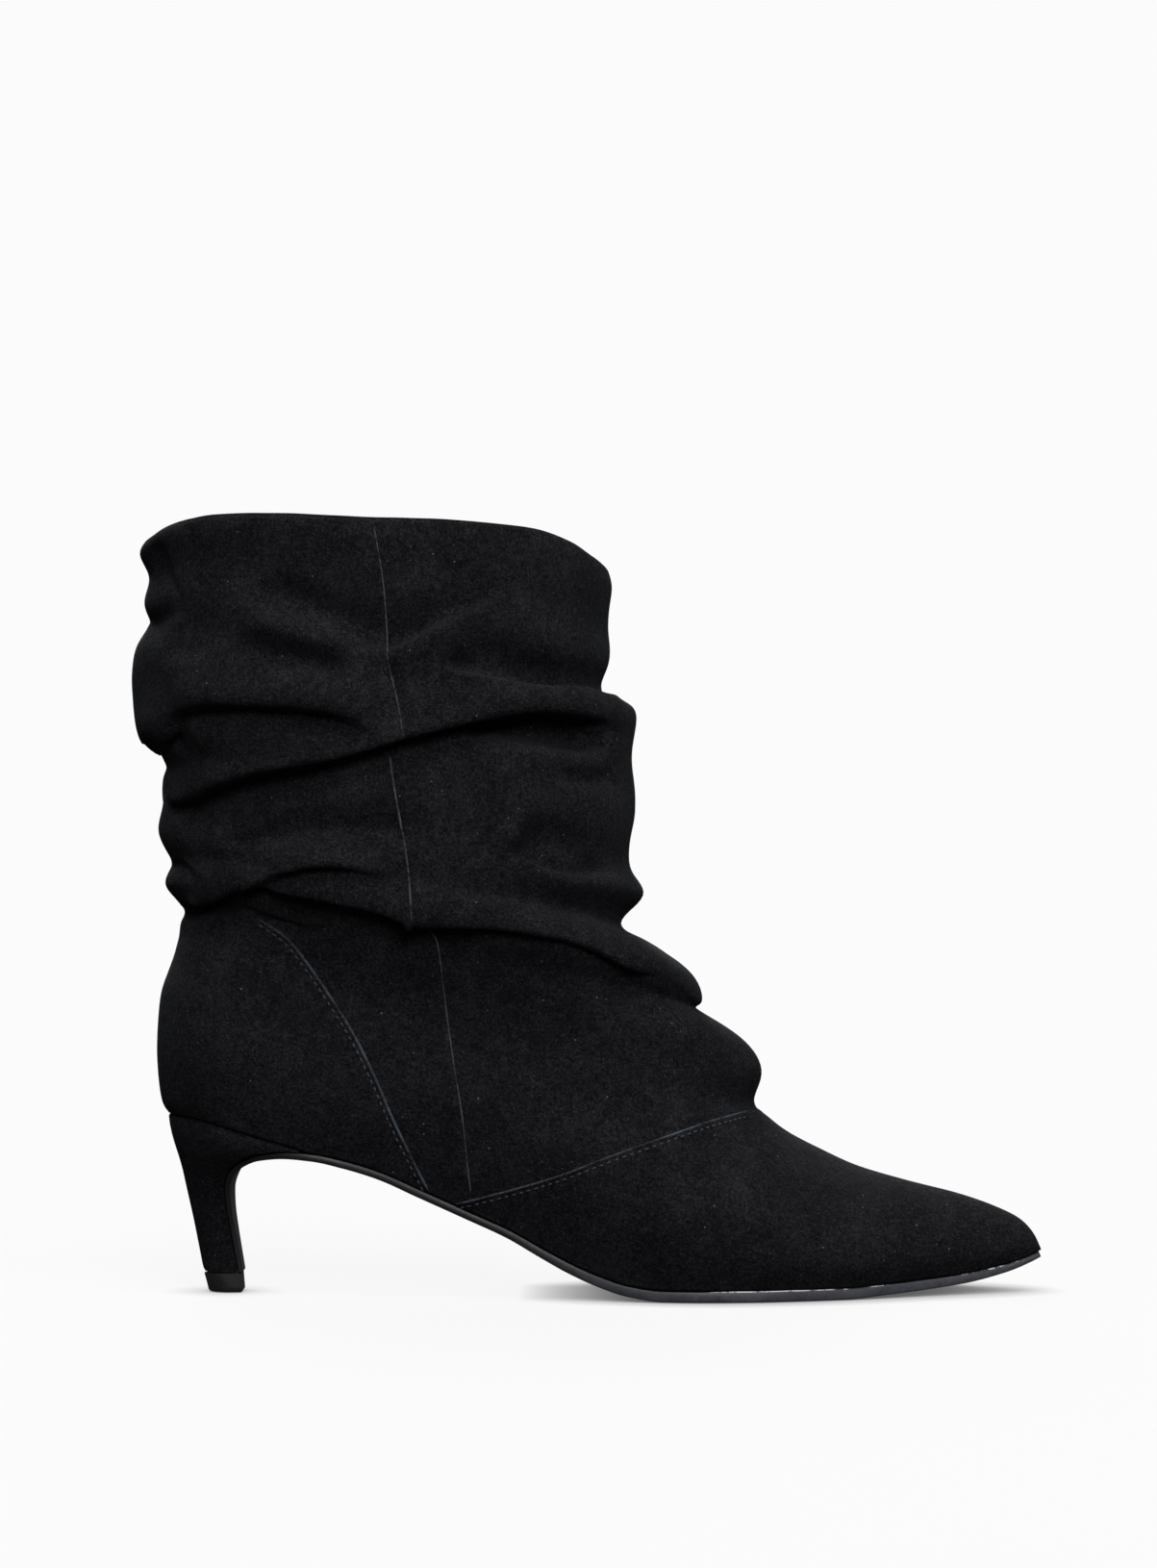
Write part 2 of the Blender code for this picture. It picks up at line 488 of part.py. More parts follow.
def build_outsole(mat, parent, coll):
    at = list(np.linspace(0.0, 9.0, 15)) + list(np.linspace(9.6, 19.0, 13))
    at += list(np.linspace(19.25, 20.0, 4)) + list(np.linspace(20.6, 25.0, 9))
    at += [25.35, 25.62, 25.82, 25.95]
    x, z, thick, nx, nz = sole_path(np.array(at))
    mid, half = plan(x, 3.4 - EDGE, LAST_LENGTH + EDGE)
    share = np.clip(np.array(at) - FLAP_ROWS, 0, 1)
    half = flap_half(at) * (1 - share) + (half + EDGE) * share
    mid = mid * np.clip((x - 27.0) / 18.0, 0, 1) * (np.array(at) > 5)
    rings = []
    for k in range(len(at)):
        r = min(0.5, thick[k] * 0.3, half[k] * 0.3)
        lo = [(-1, r, 0.0), (-0.6, 0, 0.0), (0, 0, 0.0), (0.6, 0, 0.0), (1, -r, 0.0)]
        ring = []
        for f, inset, up in lo:
            ring.append((x[k], mid[k] + f * half[k] + inset, z[k]))
        ring.append((x[k] + nx[k] * r, mid[k] + half[k], z[k] + nz[k] * r))
        tx, tz = x[k] + nx[k] * thick[k], z[k] + nz[k] * thick[k]
        ring.append((tx - nx[k] * r * 0.5, mid[k] + half[k], tz - nz[k] * r * 0.5))
        for f, inset in ((1, -r * 0.5), (0.6, 0), (0, 0), (-0.6, 0), (-1, r * 0.5)):
            ring.append((tx, mid[k] + f * half[k] + inset, tz))
        ring.append((tx - nx[k] * r * 0.5, mid[k] - half[k], tz - nz[k] * r * 0.5))
        ring.append((x[k] + nx[k] * r, mid[k] - half[k], z[k] + nz[k] * r))
        rings.append(ring)
    verts, faces = rings_to_solid(rings, cap_strips=False)
    return new_object("outsole", verts, faces, mat, parent, coll)


def heel_ring(xb, zb, xf, zf_, w, w_front, to_plan=0.0, on_seat=False, n=12):
    """A section of the heel, front corner round the back to the other front corner."""
    ring = []
    length = xf - xb
    s_line = (1 - np.cos(np.linspace(0, np.pi / 2, n))) ** 1.0
    for side in (-1, 1):
        part = []
        for s in s_line:
            x = xb + s * length
            rnd = min(1.0, w / length * 1.05)
            y = w * np.sqrt(max(0.0, 1 - max(0.0, 1 - s / rnd) ** 2))
            y *= 1 - (1 - w_front / w) * max(0.0, (s - rnd * 0.7) / (1 - rnd * 0.7 + 1e-6)) ** 2 \
                if rnd * 0.7 < 1 else 1
            m, h = plan(x, 3.4, LAST_LENGTH)
            y = (1 - to_plan) * side * y + to_plan * (float(m) * min(1.0, max(0.0, (x - 27) / 18)) + side * float(h))
            z = float(feather(x)) - GAP if on_seat else zb + (zf_ - zb) * s
            part.append((x, y, z))
        ring.append(part)
    lat, med = ring
    return list(reversed(lat)) + med[1:]


def build_heel(mat, parent, coll):
    back_z, back_x = col(HEEL_BACK, HEEL_BACK_COLS, "z"), col(HEEL_BACK, HEEL_BACK_COLS, "x")
    rings = []
    rows = list(np.linspace(0, len(HEEL) - 1, 17)) + [len(HEEL) - 1.0]
    idx = np.arange(len(HEEL))
    for k, r in enumerate(rows):
        zb = float(smooth(idx, col(HEEL, HEEL_COLS, "z_back"), r))
        along = float(smooth(idx, col(HEEL, HEEL_COLS, "along"), r))
        w = float(smooth(idx, col(HEEL, HEEL_COLS, "w"), r))
        x, z, t, nx, nz = (float(v) for v in sole_path(along))
        ws = float(flap_half(along))
        fx, fz = x + nx * (t + GAP), z + nz * (t + GAP)
        last = k == len(rows) - 1           # the seat itself, just under the upper
        xb = float(smooth(back_z, back_x, zb))
        share = np.clip((zb - 36.0) / 16.0, 0, 1) ** 1.3
        rings.append(heel_ring(3.4 if last else xb, zb, fx, fz, w, min(w * 0.97, ws),
                               1.0 if last else share, last))
    verts, faces = rings_to_solid(rings, cap_strips=True)
    return new_object("heel", verts, [tuple(reversed(f)) for f in faces], mat, parent, coll)


def build_top_piece(mat, parent, coll):
    rings = []
    for z, xb, xf, w in ((0.0, 15.6, 25.4, 6.0), (0.35, 15.2, 25.6, 6.3),
                         (TOP_PIECE - 0.3, 13.95, 25.2, 6.5), (TOP_PIECE, 14.1, 25.0, 6.3)):
        rings.append(heel_ring(xb, z, xf, z, w, w * 0.9))
    verts, faces = rings_to_solid(rings, cap_strips=True)
    return new_object("heel_top_piece", verts, [tuple(reversed(f)) for f in faces], mat, parent, coll)


def build_insole(mat, parent, coll):
    n = 46
    inset = WALL + GAP + 0.35
    s = (1 - np.cos(np.linspace(0, np.pi, n))) / 2
    tip = LAST_LENGTH - 1.6
    x = 3.4 + s * (tip - 3.4)
    mid, half = plan(x, 3.4, tip)
    loop = np.concatenate([np.stack([x, mid - half], -1), np.stack([x, mid + half], -1)[-2:0:-1]])
    tangent = np.roll(loop, -1, 0) - np.roll(loop, 1, 0)
    tangent /= np.linalg.norm(tangent, axis=1, keepdims=True)
    loop = loop + np.stack([-tangent[:, 1], tangent[:, 0]], -1) * inset
    rings = []
    for up in (0.0, INSOLE_T):
        grow = 0.0 if up == 0 else 0.35
        pts = loop + np.stack([tangent[:, 1], -tangent[:, 0]], -1) * grow
        rings.append([(p[0], p[1], float(feather(p[0])) + up) for p in pts])
    m = len(loop)
    verts = rings[0] + rings[1]
    faces = [(i, (i + 1) % m, m + (i + 1) % m, m + i) for i in range(m)]
    for base, flip in ((0, True), (m, False)):
        for i in range(n - 1):
            a, b = base + i, base + i + 1
            c, d = base + (m - i - 1) % m, base + (m - i) % m
            quad = (a, b, c, d)
            if i == 0:
                quad = (a, b, c)
            elif i == n - 2:
                quad = (a, b, d)
            faces.append(tuple(reversed(quad)) if flip else quad)
    return new_object("insole", verts, faces, mat, parent, coll)


def main():
    for obj in list(bpy.data.objects):
        bpy.data.objects.remove(obj, do_unlink=True)
    coll = bpy.data.collections.new("slouch_boot")
    bpy.context.scene.collection.children.link(coll)
    root = bpy.data.objects.new("boot_frame", None)
    root.location = (-CENTRE_X * MM, -CENTRE_Y * MM, 0.0)
    coll.objects.link(root)
    suede = material("black_suede", (0.012, 0.012, 0.014), 0.95)
    covered = material("black_suede_heel", (0.011, 0.011, 0.013), 0.95)
    sole = material("black_sole", (0.020, 0.021, 0.024), 0.35, 0.3)
    tip = material("black_top_piece", (0.028, 0.028, 0.030), 0.40)
    board = material("insole_leather", (0.030, 0.028, 0.027), 0.6)
    build_upper(suede, root, coll)
    build_outsole(sole, root, coll)
    build_heel(covered, root, coll)
    build_top_piece(tip, root, coll)
    build_insole(board, root, coll)


main()
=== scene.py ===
"""Slouch ankle boot in black suede, right foot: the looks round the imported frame.

Everything is laid out on the last in millimetres, as in the part's own source:
X runs to the toe, -Y is the outer side, Z is up from the floor.
"""
import bpy
import numpy as np
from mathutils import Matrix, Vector, noise
from mathutils.bvhtree import BVHTree


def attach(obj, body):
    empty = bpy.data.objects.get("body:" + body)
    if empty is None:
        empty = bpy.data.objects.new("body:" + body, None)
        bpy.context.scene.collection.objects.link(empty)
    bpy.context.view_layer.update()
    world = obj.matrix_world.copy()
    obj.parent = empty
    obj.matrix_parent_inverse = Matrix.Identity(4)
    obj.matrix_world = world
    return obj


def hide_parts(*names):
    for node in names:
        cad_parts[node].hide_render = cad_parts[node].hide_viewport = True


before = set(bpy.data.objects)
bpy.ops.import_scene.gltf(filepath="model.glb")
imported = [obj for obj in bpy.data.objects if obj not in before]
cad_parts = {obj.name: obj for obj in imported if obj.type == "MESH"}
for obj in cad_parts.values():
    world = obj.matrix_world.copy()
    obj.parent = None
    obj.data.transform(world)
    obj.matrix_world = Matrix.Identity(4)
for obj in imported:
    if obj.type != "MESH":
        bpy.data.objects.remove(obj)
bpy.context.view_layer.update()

# ------------------------------------------------------------------ sizes, mm
LAST_LENGTH = 262.0      # back of the counter to the tip of the toe
GAP = 0.3                # between two pieces that meet
SAG = 0.15               # extra room over the hollow of the waist, bridged by flat facets
EDGE = 0.4               # the outsole stands this far out past the upper
SEAT_ROUND = 25.0        # length of the rounding of the heel in plan
TOE_ROUND = 9.0          # length of the rounding of the toe in plan
TOP_PIECE = 5.5          # height of the heel's top piece
CENTRE_X = 127.3         # middle of the boot's footprint, carried to the origin
CENTRE_Y = -0.14
MM = 0.001
COLLAR_EDGE = 1.0        # radius of the collar's turned edge


# Outline of the feather edge in plan, before the ends are rounded.
PLAN_COLS = ("x", "lat", "med")
PLAN = [
    (3.4, -24.0, 24.0),
    (16.0, -25.2, 25.0),
    (34.0, -26.0, 25.0),
    (56.0, -25.4, 22.8),
    (80.0, -24.2, 19.6),
    (102.0, -24.4, 18.6),
    (124.0, -28.0, 22.4),
    (143.0, -33.0, 28.8),
    (160.0, -35.6, 34.2),
    (174.0, -34.6, 37.0),
    (188.0, -31.2, 37.2),
    (205.0, -25.2, 34.2),
    (222.0, -17.6, 28.4),
    (238.0, -10.4, 21.6),
    (252.0, -4.8, 14.2),
    (262.0, -2.2, 10.2),
]

# The outsole's lower face, from the end of the flap on the heel's breast,
# round the breast, along the waist and the tread to the toe.
# w is the half width where the plan's outline doesn't give it.
SOLE_COLS = ("x", "z", "thick", "w")      # w 0 takes the plan's outline
SOLE = [
    (25.7, 6.0, 1.3, 6.0),
    (24.7, 11.8, 1.3, 6.5),
    (23.6, 18.2, 1.3, 7.3),
    (22.6, 25.0, 1.4, 9.0),
    (22.3, 30.0, 1.5, 11.4),
    (23.4, 34.3, 1.7, 15.0),
    (26.7, 37.8, 1.8, 19.0),
    (31.8, 39.9, 1.9, 22.0),
    (39.0, 40.6, 2.0, 24.2),
    (47.0, 40.0, 2.0, 0.0),
    (56.0, 38.0, 2.1, 0.0),
    (66.0, 34.9, 2.1, 0.0),
    (78.0, 29.5, 2.2, 0.0),
    (92.0, 23.2, 2.2, 0.0),
    (104.0, 17.7, 2.3, 0.0),
    (114.0, 12.0, 2.5, 0.0),
    (122.0, 7.7, 2.7, 0.0),
    (130.0, 4.2, 2.8, 0.0),
    (139.0, 1.4, 2.9, 0.0),
    (150.0, 0.0, 3.0, 0.0),
    (203.0, 0.0, 3.0, 0.0),
    (213.0, 0.7, 2.9, 0.0),
    (226.0, 1.8, 2.8, 0.0),
    (239.0, 3.3, 2.6, 0.0),
    (251.0, 6.0, 2.1, 0.0),
    (258.0, 8.5, 1.7, 0.0),
    (262.0, 10.1, 1.4, 0.0),
]

# The seat: the upper's lower edge over the heel.
SEAT_COLS = ("x", "z")
SEAT = [(3.4, 53.0), (12.5, 52.2), (21.0, 50.2), (31.0, 47.3), (39.0, 45.0), (47.0, 42.3)]

# Ridge of the vamp, and behind it the line of the instep inside the soft folds.
RIDGE_COLS = ("x", "z")
RIDGE = [
    (0.0, 156.0), (60.0, 149.0), (100.0, 127.0), (120.0, 106.0), (135.0, 88.0), (148.0, 74.0),
    (160.0, 63.6), (171.0, 56.2), (180.0, 50.9), (188.5, 45.9), (197.4, 41.4), (207.0, 37.0),
    (222.0, 32.5), (239.0, 28.0), (250.0, 24.0), (256.0, 20.9), (260.0, 16.5), (262.0, 12.2),
]

# How far the last swells past the feather edge, at what share of its height, and
# how much its sides lean in to the crest above that.
SWELL_COLS = ("x", "out", "at", "lean")
SWELL = [
    (3.0, 0.17, 0.20, 0.00), (40.0, 0.18, 0.24, 0.00), (75.0, 0.27, 0.30, 0.08),
    (100.0, 0.32, 0.32, 0.15), (125.0, 0.25, 0.32, 0.22), (150.0, 0.17, 0.30, 0.30),
    (180.0, 0.13, 0.27, 0.32), (215.0, 0.13, 0.25, 0.22), (245.0, 0.18, 0.28, 0.10),
    (262.0, 0.20, 0.30, 0.00),
]

# Sections of the upper, feather edge to collar.  Each one runs from x_back to
# x_front; its heights are given at the back, the back quarter, the side, the
# front quarter and the front.  lift 1 counts them from the feather edge, lift 0
# from the floor.  last is the share of the last's own section; the rest is an
# oval of half widths lat and med, squarer as n grows.  crest is the radius in plan
# of the rounding at the front of the last's section, 0 where the toe gives it.
ROW_COLS = ("name", "x_back", "x_front", "back", "backq", "side", "frontq", "front",
            "lat", "med", "n", "last", "lift", "crest")
ROWS = [
    ("feather",      3.4, 262.0,   0.0,   0.0,   0.0,   0.0,   0.0, 30, 30, 2.0, 1.0, 1, 0),
    ("margin",       1.9, 262.0,   2.2,   2.2,   2.2,   2.0,   1.3, 30, 30, 2.0, 1.0, 1, 0),
    ("counter low",  0.6, 260.6,   9.0,   9.0,   9.5,   8.5,   4.9, 30, 30, 2.0, 1.0, 1, 0),
    ("counter",      0.0, 255.6,  18.0,  18.0,  19.0,  16.5,  11.6, 30, 30, 2.0, 1.0, 1, 0),
    ("toe",          0.3, 240.0,  27.5,  27.5,  27.5,  25.5,  21.6, 30, 30, 2.2, 1.0, 1, 0),
    ("ball",         1.3, 214.0,  36.0,  36.0,  35.0,  34.5,  31.2, 30, 30, 2.4, 1.0, 1, 0),
    ("vamp",         3.2, 192.5,  41.5,  40.5,  39.0,  40.0,  40.7, 30, 30, 2.5, 1.0, 1, 0),
    ("throat",       5.0, 180.8,  99.5,  95.0,  77.0,  57.0,  51.4, 32, 32, 2.3, 1.0, 0, 0),
    ("vamp seam",    5.8, 176.9, 102.5,  99.0,  82.0,  62.5,  56.2, 32, 32, 2.3, 0.9, 0, 36),
    ("instep roll",  6.5, 179.0, 105.5, 102.5,  87.5,  70.5,  64.2, 33, 33, 2.3, 0.6, 0, 27),
    ("instep top",   7.2, 172.8, 109.3, 107.5,  95.0,  80.5,  75.0, 34, 34, 2.3, 0.2, 0, 25),
    ("neck",         7.6, 160.0, 113.5, 113.5, 103.0,  91.5,  83.4, 35, 35, 2.3, 0.0, 0, 0),
    ("lip",          4.2, 161.4, 118.0, 118.0, 108.0,  96.0,  85.4, 39, 39, 2.3, 0.0, 0, 0),
    ("lip roll",     3.0, 159.6, 121.5, 122.5, 112.5, 101.5,  92.5, 42, 42, 2.2, 0.0, 0, 0),
    ("lip top",      4.6, 147.6, 126.3, 127.5, 118.5, 108.5, 101.4, 43, 43, 2.1, 0.0, 0, 0),
    ("front pinch",  2.6, 137.0, 130.5, 131.0, 123.5, 115.0, 108.8, 43.5, 43.5, 2.0, 0.0, 0, 0),
    ("small roll",   0.6, 143.8, 136.0, 136.0, 129.5, 122.0, 117.0, 44, 44, 2.0, 0.0, 0, 0),
    ("small pinch",  1.4, 140.4, 142.0, 141.5, 136.0, 129.5, 124.6, 44, 44, 2.0, 0.0, 0, 0),
    ("panel",        2.8, 141.7, 151.0, 150.5, 147.0, 143.0, 140.0, 45, 45, 2.0, 0.0, 0, 0),
    ("back pinch",   2.8, 140.8, 156.5, 158.0, 157.5, 156.5, 155.0, 45, 45, 2.0, 0.0, 0, 0),
    ("back roll",   -4.8, 141.2, 163.5, 165.0, 165.5, 166.0, 165.0, 46, 46, 2.0, 0.0, 0, 0),
    ("back roll top", -6.9, 140.6, 174.5, 175.0, 175.0, 174.0, 172.8, 46, 46, 2.0, 0.0, 0, 0),
    ("front tuck",  -6.7, 133.6, 189.5, 186.5, 183.0, 180.0, 177.4, 46, 46, 2.0, 0.0, 0, 0),
    ("back tuck",   -2.6, 134.2, 197.0, 195.0, 192.0, 189.0, 185.5, 45.5, 45.5, 2.0, 0.0, 0, 0),
    ("upper shaft", -3.8, 133.9, 203.5, 204.5, 202.5, 199.0, 194.5, 45, 45, 2.0, 0.0, 0, 0),
    ("under collar", -2.4, 134.8, 211.5, 215.5, 214.5, 211.5, 203.0, 45, 45, 2.0, 0.0, 0, 0),
    ("collar roll", -5.2, 135.0, 217.8, 223.8, 223.2, 220.5, 209.0, 45.5, 45.5, 2.0, 0.0, 0, 0),
    ("collar",      -3.2, 133.8, 221.4, 228.0, 226.9, 224.0, 213.0, 45, 45, 2.0, 0.0, 0, 0),
]
# Sections of the heel: height at the back, how far along the outsole's path the
# front lies (in rows of SOLE), and half width.
HEEL_COLS = ("z_back", "along", "w")
HEEL = [
    (6.0, 0.00, 6.6), (12.0, 1.00, 7.0), (18.5, 2.02, 7.9), (25.5, 3.05, 9.7),
    (31.5, 4.15, 12.6), (37.5, 5.10, 16.6), (43.0, 6.00, 20.2), (47.5, 7.00, 23.0),
    (50.4, 8.00, 24.8), (52.3, 8.55, 25.6),
]
HEEL_BACK_COLS = ("z", "x")
HEEL_BACK = [(0.0, 15.3), (6.0, 13.8), (14.0, 12.2), (21.0, 10.8), (30.0, 8.8),
             (39.0, 6.8), (46.0, 4.9), (50.0, 4.0), (53.0, 3.6)]


# ------------------------------------------------------------------ curves
def col(table, cols, name):
    return np.array([row[cols.index(name)] for row in table], float)


def smooth(xs, ys, x):
    """Shape-keeping cubic through (xs, ys): it stays flat where the table is flat."""
    xs, ys, x = np.asarray(xs, float), np.asarray(ys, float), np.asarray(x, float)
    h = np.diff(xs)
    d = np.diff(ys) / h
    m = np.zeros_like(ys)
    for i in range(1, len(xs) - 1):
        if d[i - 1] * d[i] > 0:
            w1, w2 = 2 * h[i] + h[i - 1], h[i] + 2 * h[i - 1]
            m[i] = (w1 + w2) / (w1 / d[i - 1] + w2 / d[i])
    m[0], m[-1] = d[0], d[-1]
    xc = np.clip(x, xs[0], xs[-1])
    i = np.clip(np.searchsorted(xs, xc) - 1, 0, len(h) - 1)
    t = (xc - xs[i]) / h[i]
    return ((1 + 2 * t) * (1 - t) ** 2 * ys[i] + t * (1 - t) ** 2 * h[i] * m[i]
            + t * t * (3 - 2 * t) * ys[i + 1] + t * t * (t - 1) * h[i] * m[i + 1])


def natural(ts, pts, t):
    """Natural cubic spline through pts[k] at ts[k]; pts may be any array shape."""
    n = len(ts)
    h = np.diff(ts)
    a = np.zeros((n, n))
    rhs = np.zeros((n,) + pts.shape[1:])
    a[0, 0] = a[-1, -1] = 1.0
    for i in range(1, n - 1):
        a[i, i - 1], a[i, i], a[i, i + 1] = h[i - 1], 2 * (h[i - 1] + h[i]), h[i]
        rhs[i] = 6 * ((pts[i + 1] - pts[i]) / h[i] - (pts[i] - pts[i - 1]) / h[i - 1])
    m = np.linalg.solve(a, rhs.reshape(n, -1)).reshape(rhs.shape)
    out = []
    for v in t:
        i = int(np.clip(np.searchsorted(ts, v) - 1, 0, n - 2))
        p, q = (ts[i + 1] - v) / h[i], (v - ts[i]) / h[i]
        out.append(p * pts[i] + q * pts[i + 1]
                   + ((p ** 3 - p) * m[i] + (q ** 3 - q) * m[i + 1]) * h[i] ** 2 / 6)
    return np.array(out)


# ------------------------------------------------------------------ outsole path
def sole_path(at):
    """x, z, thickness and upward normal at 'at', counted in rows of SOLE."""
    x, z = col(SOLE, SOLE_COLS, "x"), col(SOLE, SOLE_COLS, "z")
    chord = np.concatenate([[0], np.cumsum(np.hypot(np.diff(x), np.diff(z)))])
    at = np.asarray(at, float)
    s = np.interp(at, np.arange(len(SOLE)), chord)
    px, pz = smooth(chord, x, s), smooth(chord, z, s)
    e = 0.05
    tx = smooth(chord, x, s + e) - smooth(chord, x, s - e)
    tz = smooth(chord, z, s + e) - smooth(chord, z, s - e)
    ln = np.hypot(tx, tz)
    return px, pz, smooth(chord, col(SOLE, SOLE_COLS, "thick"), s), -tz / ln, tx / ln


FLAP_ROWS = 8            # rows of SOLE whose half width is their own


def flap_half(at):
    """Half width of the outsole on the heel's breast and under the seat."""
    rows = np.arange(FLAP_ROWS + 1)
    return smooth(rows, col(SOLE, SOLE_COLS, "w")[:FLAP_ROWS + 1], np.minimum(at, FLAP_ROWS))


_at = np.linspace(8.0, len(SOLE) - 1.0, 400)
_x, _z, _t, _nx, _nz = sole_path(_at)
TOP_X, TOP_Z = _x + _nx * _t, _z + _nz * _t


def feather(x):
    """Height of the upper's lower edge: on the heel's seat, then on the outsole."""
    x = np.asarray(x, float)
    seat = smooth(col(SEAT, SEAT_COLS, "x"), col(SEAT, SEAT_COLS, "z"), x)
    sag = SAG * np.clip((x - 47.0) / 10.0, 0, 1)
    return np.where(x < 47.0, seat, np.interp(x, TOP_X, TOP_Z) + GAP + sag)


def plan(x, x_back=3.4, x_front=LAST_LENGTH):
    """Centre line and half width of the feather outline, its ends rounded."""
    x = np.asarray(x, float)
    xs = col(PLAN, PLAN_COLS, "x")
    lat = smooth(xs, col(PLAN, PLAN_COLS, "lat"), x)
    med = smooth(xs, col(PLAN, PLAN_COLS, "med"), x)
    back = np.clip((x_back + SEAT_ROUND - x) / SEAT_ROUND, 0, 1)
    front = np.clip((x - x_front + TOE_ROUND) / TOE_ROUND, 0, 1)
    half = (med - lat) / 2 * np.sqrt(1 - back ** 2) * np.sqrt(1 - front ** 2)
    return (lat + med) / 2, half


FOLD_IN = 0.25           # share of a cross-section's run that lies below its widest point


def last_point(x, share, x_back):
    """Centre line, half width and height at 'share' of the way up the last's side:
    0 at the feather edge, FOLD_IN at the widest point, 1 on the ridge."""
    mid, half = plan(x, x_back)
    low, top, out, at = last_levels(x)
    a = np.pi / 2 * np.clip((share - FOLD_IN) / (1 - FOLD_IN), 0, 1)
    below = share < FOLD_IN
    t = np.where(below, at * share / FOLD_IN, at + (1 - at) * np.sin(a))
    lean = smooth(col(SWELL, SWELL_COLS, "x"), col(SWELL, SWELL_COLS, "lean"), x)
    swell = np.where(below, 1 + out * np.sin(np.pi / 2 * np.clip(share / FOLD_IN, 0, 1)),
                     (1 + out) * np.cos(a) * (1 - lean * np.sin(a) ** 2))
    return mid, half * swell, low + (top - low) * t


def last_levels(x):
    """Feather height, ridge height, swell and its level at station x."""
    low = feather(x)
    top = np.maximum(smooth(col(RIDGE, RIDGE_COLS, "x"), col(RIDGE, RIDGE_COLS, "z"), x), low + 0.5)
    out = smooth(col(SWELL, SWELL_COLS, "x"), col(SWELL, SWELL_COLS, "out"), x)
    at = smooth(col(SWELL, SWELL_COLS, "x"), col(SWELL, SWELL_COLS, "at"), x)
    return low, top, out, at


def ridge_x(z):
    """Station where the ridge stands at height z."""
    x = np.linspace(0.0, LAST_LENGTH, 527)
    top = smooth(col(RIDGE, RIDGE_COLS, "x"), col(RIDGE, RIDGE_COLS, "z"), x)
    return np.interp(z, top[::-1], x[::-1])


def last_share(x, z):
    """How far up the last's side height z lies at station x."""
    low, top, out, at = last_levels(x)
    t = np.clip((z - low) / (top - low), 0, 1)
    high = FOLD_IN + (1 - FOLD_IN) * np.arcsin(np.clip((t - at) / (1 - at), 0, 1)) / (np.pi / 2)
    return np.where(t < at, FOLD_IN * t / at, high)


def section(row, angle):
    """Points of one section of the upper at the given angles (radians), and where
    it lies on the last: stations and shares of the way up its side."""
    r = dict(zip(ROW_COLS, row))
    a = np.mod(angle, 2 * np.pi)
    mid_x, half_x = (r["x_back"] + r["x_front"]) / 2, (r["x_front"] - r["x_back"]) / 2
    x = mid_x - half_x * np.cos(a)
    outer = a <= np.pi
    side = np.where(outer, -1.0, 1.0)
    quarter = np.where(outer, a, 2 * np.pi - a) / (np.pi / 4)
    hs = np.array([r["back"], r["backq"], r["side"], r["frontq"], r["front"]])
    z = catmull(np.concatenate([[hs[1]], hs, [hs[3]]]), quarter + 1) + r["lift"] * feather(x)
    oval = np.clip(1 - np.abs(np.cos(a)) ** r["n"], 0, 1) ** (1 / r["n"])
    y = side * oval * np.where(outer, r["lat"], r["med"])
    xs, share = x, np.zeros_like(x)
    if r["last"] > 0:
        if r["lift"]:                   # its front lies on the vamp's sloping ridge
            share = last_share(x, z)
            if r["front"] > 0:
                run = 0.5 * min(1.0, max(0.3, r["front"] / 20))
                near = np.clip((quarter - 4 + 1.3 * run) / (0.6 * run), 0, 1)
                near = near * near * (3 - 2 * near)
                start = np.interp(4 - run, quarter[outer], share[outer])
                climb = np.clip((quarter - 4 + run) / run, -1, 1)
                share = share * (1 - near) + near * (start + (1 - start) * climb)
            mid, half, z = last_point(x, share, r["x_back"])
        else:                           # level sections, stretched to reach the roll's front
            reach = np.clip((x - r["x_back"]) / (r["x_front"] - r["x_back"]), 0, 1) ** 2
            xs = x - (r["x_front"] - ridge_x(z)) * reach
            share = last_share(xs, z)
            mid, half, _ = last_point(xs, share, r["x_back"])
        if r["crest"] > 0:
            room = 2 * r["crest"] * np.maximum(r["x_front"] - x, 1e-6)
            half = (np.maximum(half, 1e-3) ** -6 + room ** -3) ** (-1 / 6)
            half = np.where(room > 1e-4, half, 0.0)
        y = r["last"] * (mid + side * half) + (1 - r["last"]) * y
    return np.stack([x, y, z], axis=-1), np.stack([xs, share], axis=-1)


def catmull(values, at):
    """Catmull-Rom through values at whole numbers, read at 'at'."""
    i = np.clip(np.floor(at).astype(int), 1, len(values) - 3)
    t = at - i
    p0, p1, p2, p3 = values[i - 1], values[i], values[i + 1], values[i + 2]
    return 0.5 * (2 * p1 + (p2 - p0) * t + (2 * p0 - 5 * p1 + 4 * p2 - p3) * t ** 2
                  + (3 * p1 - p0 - 3 * p2 + p3) * t ** 3)


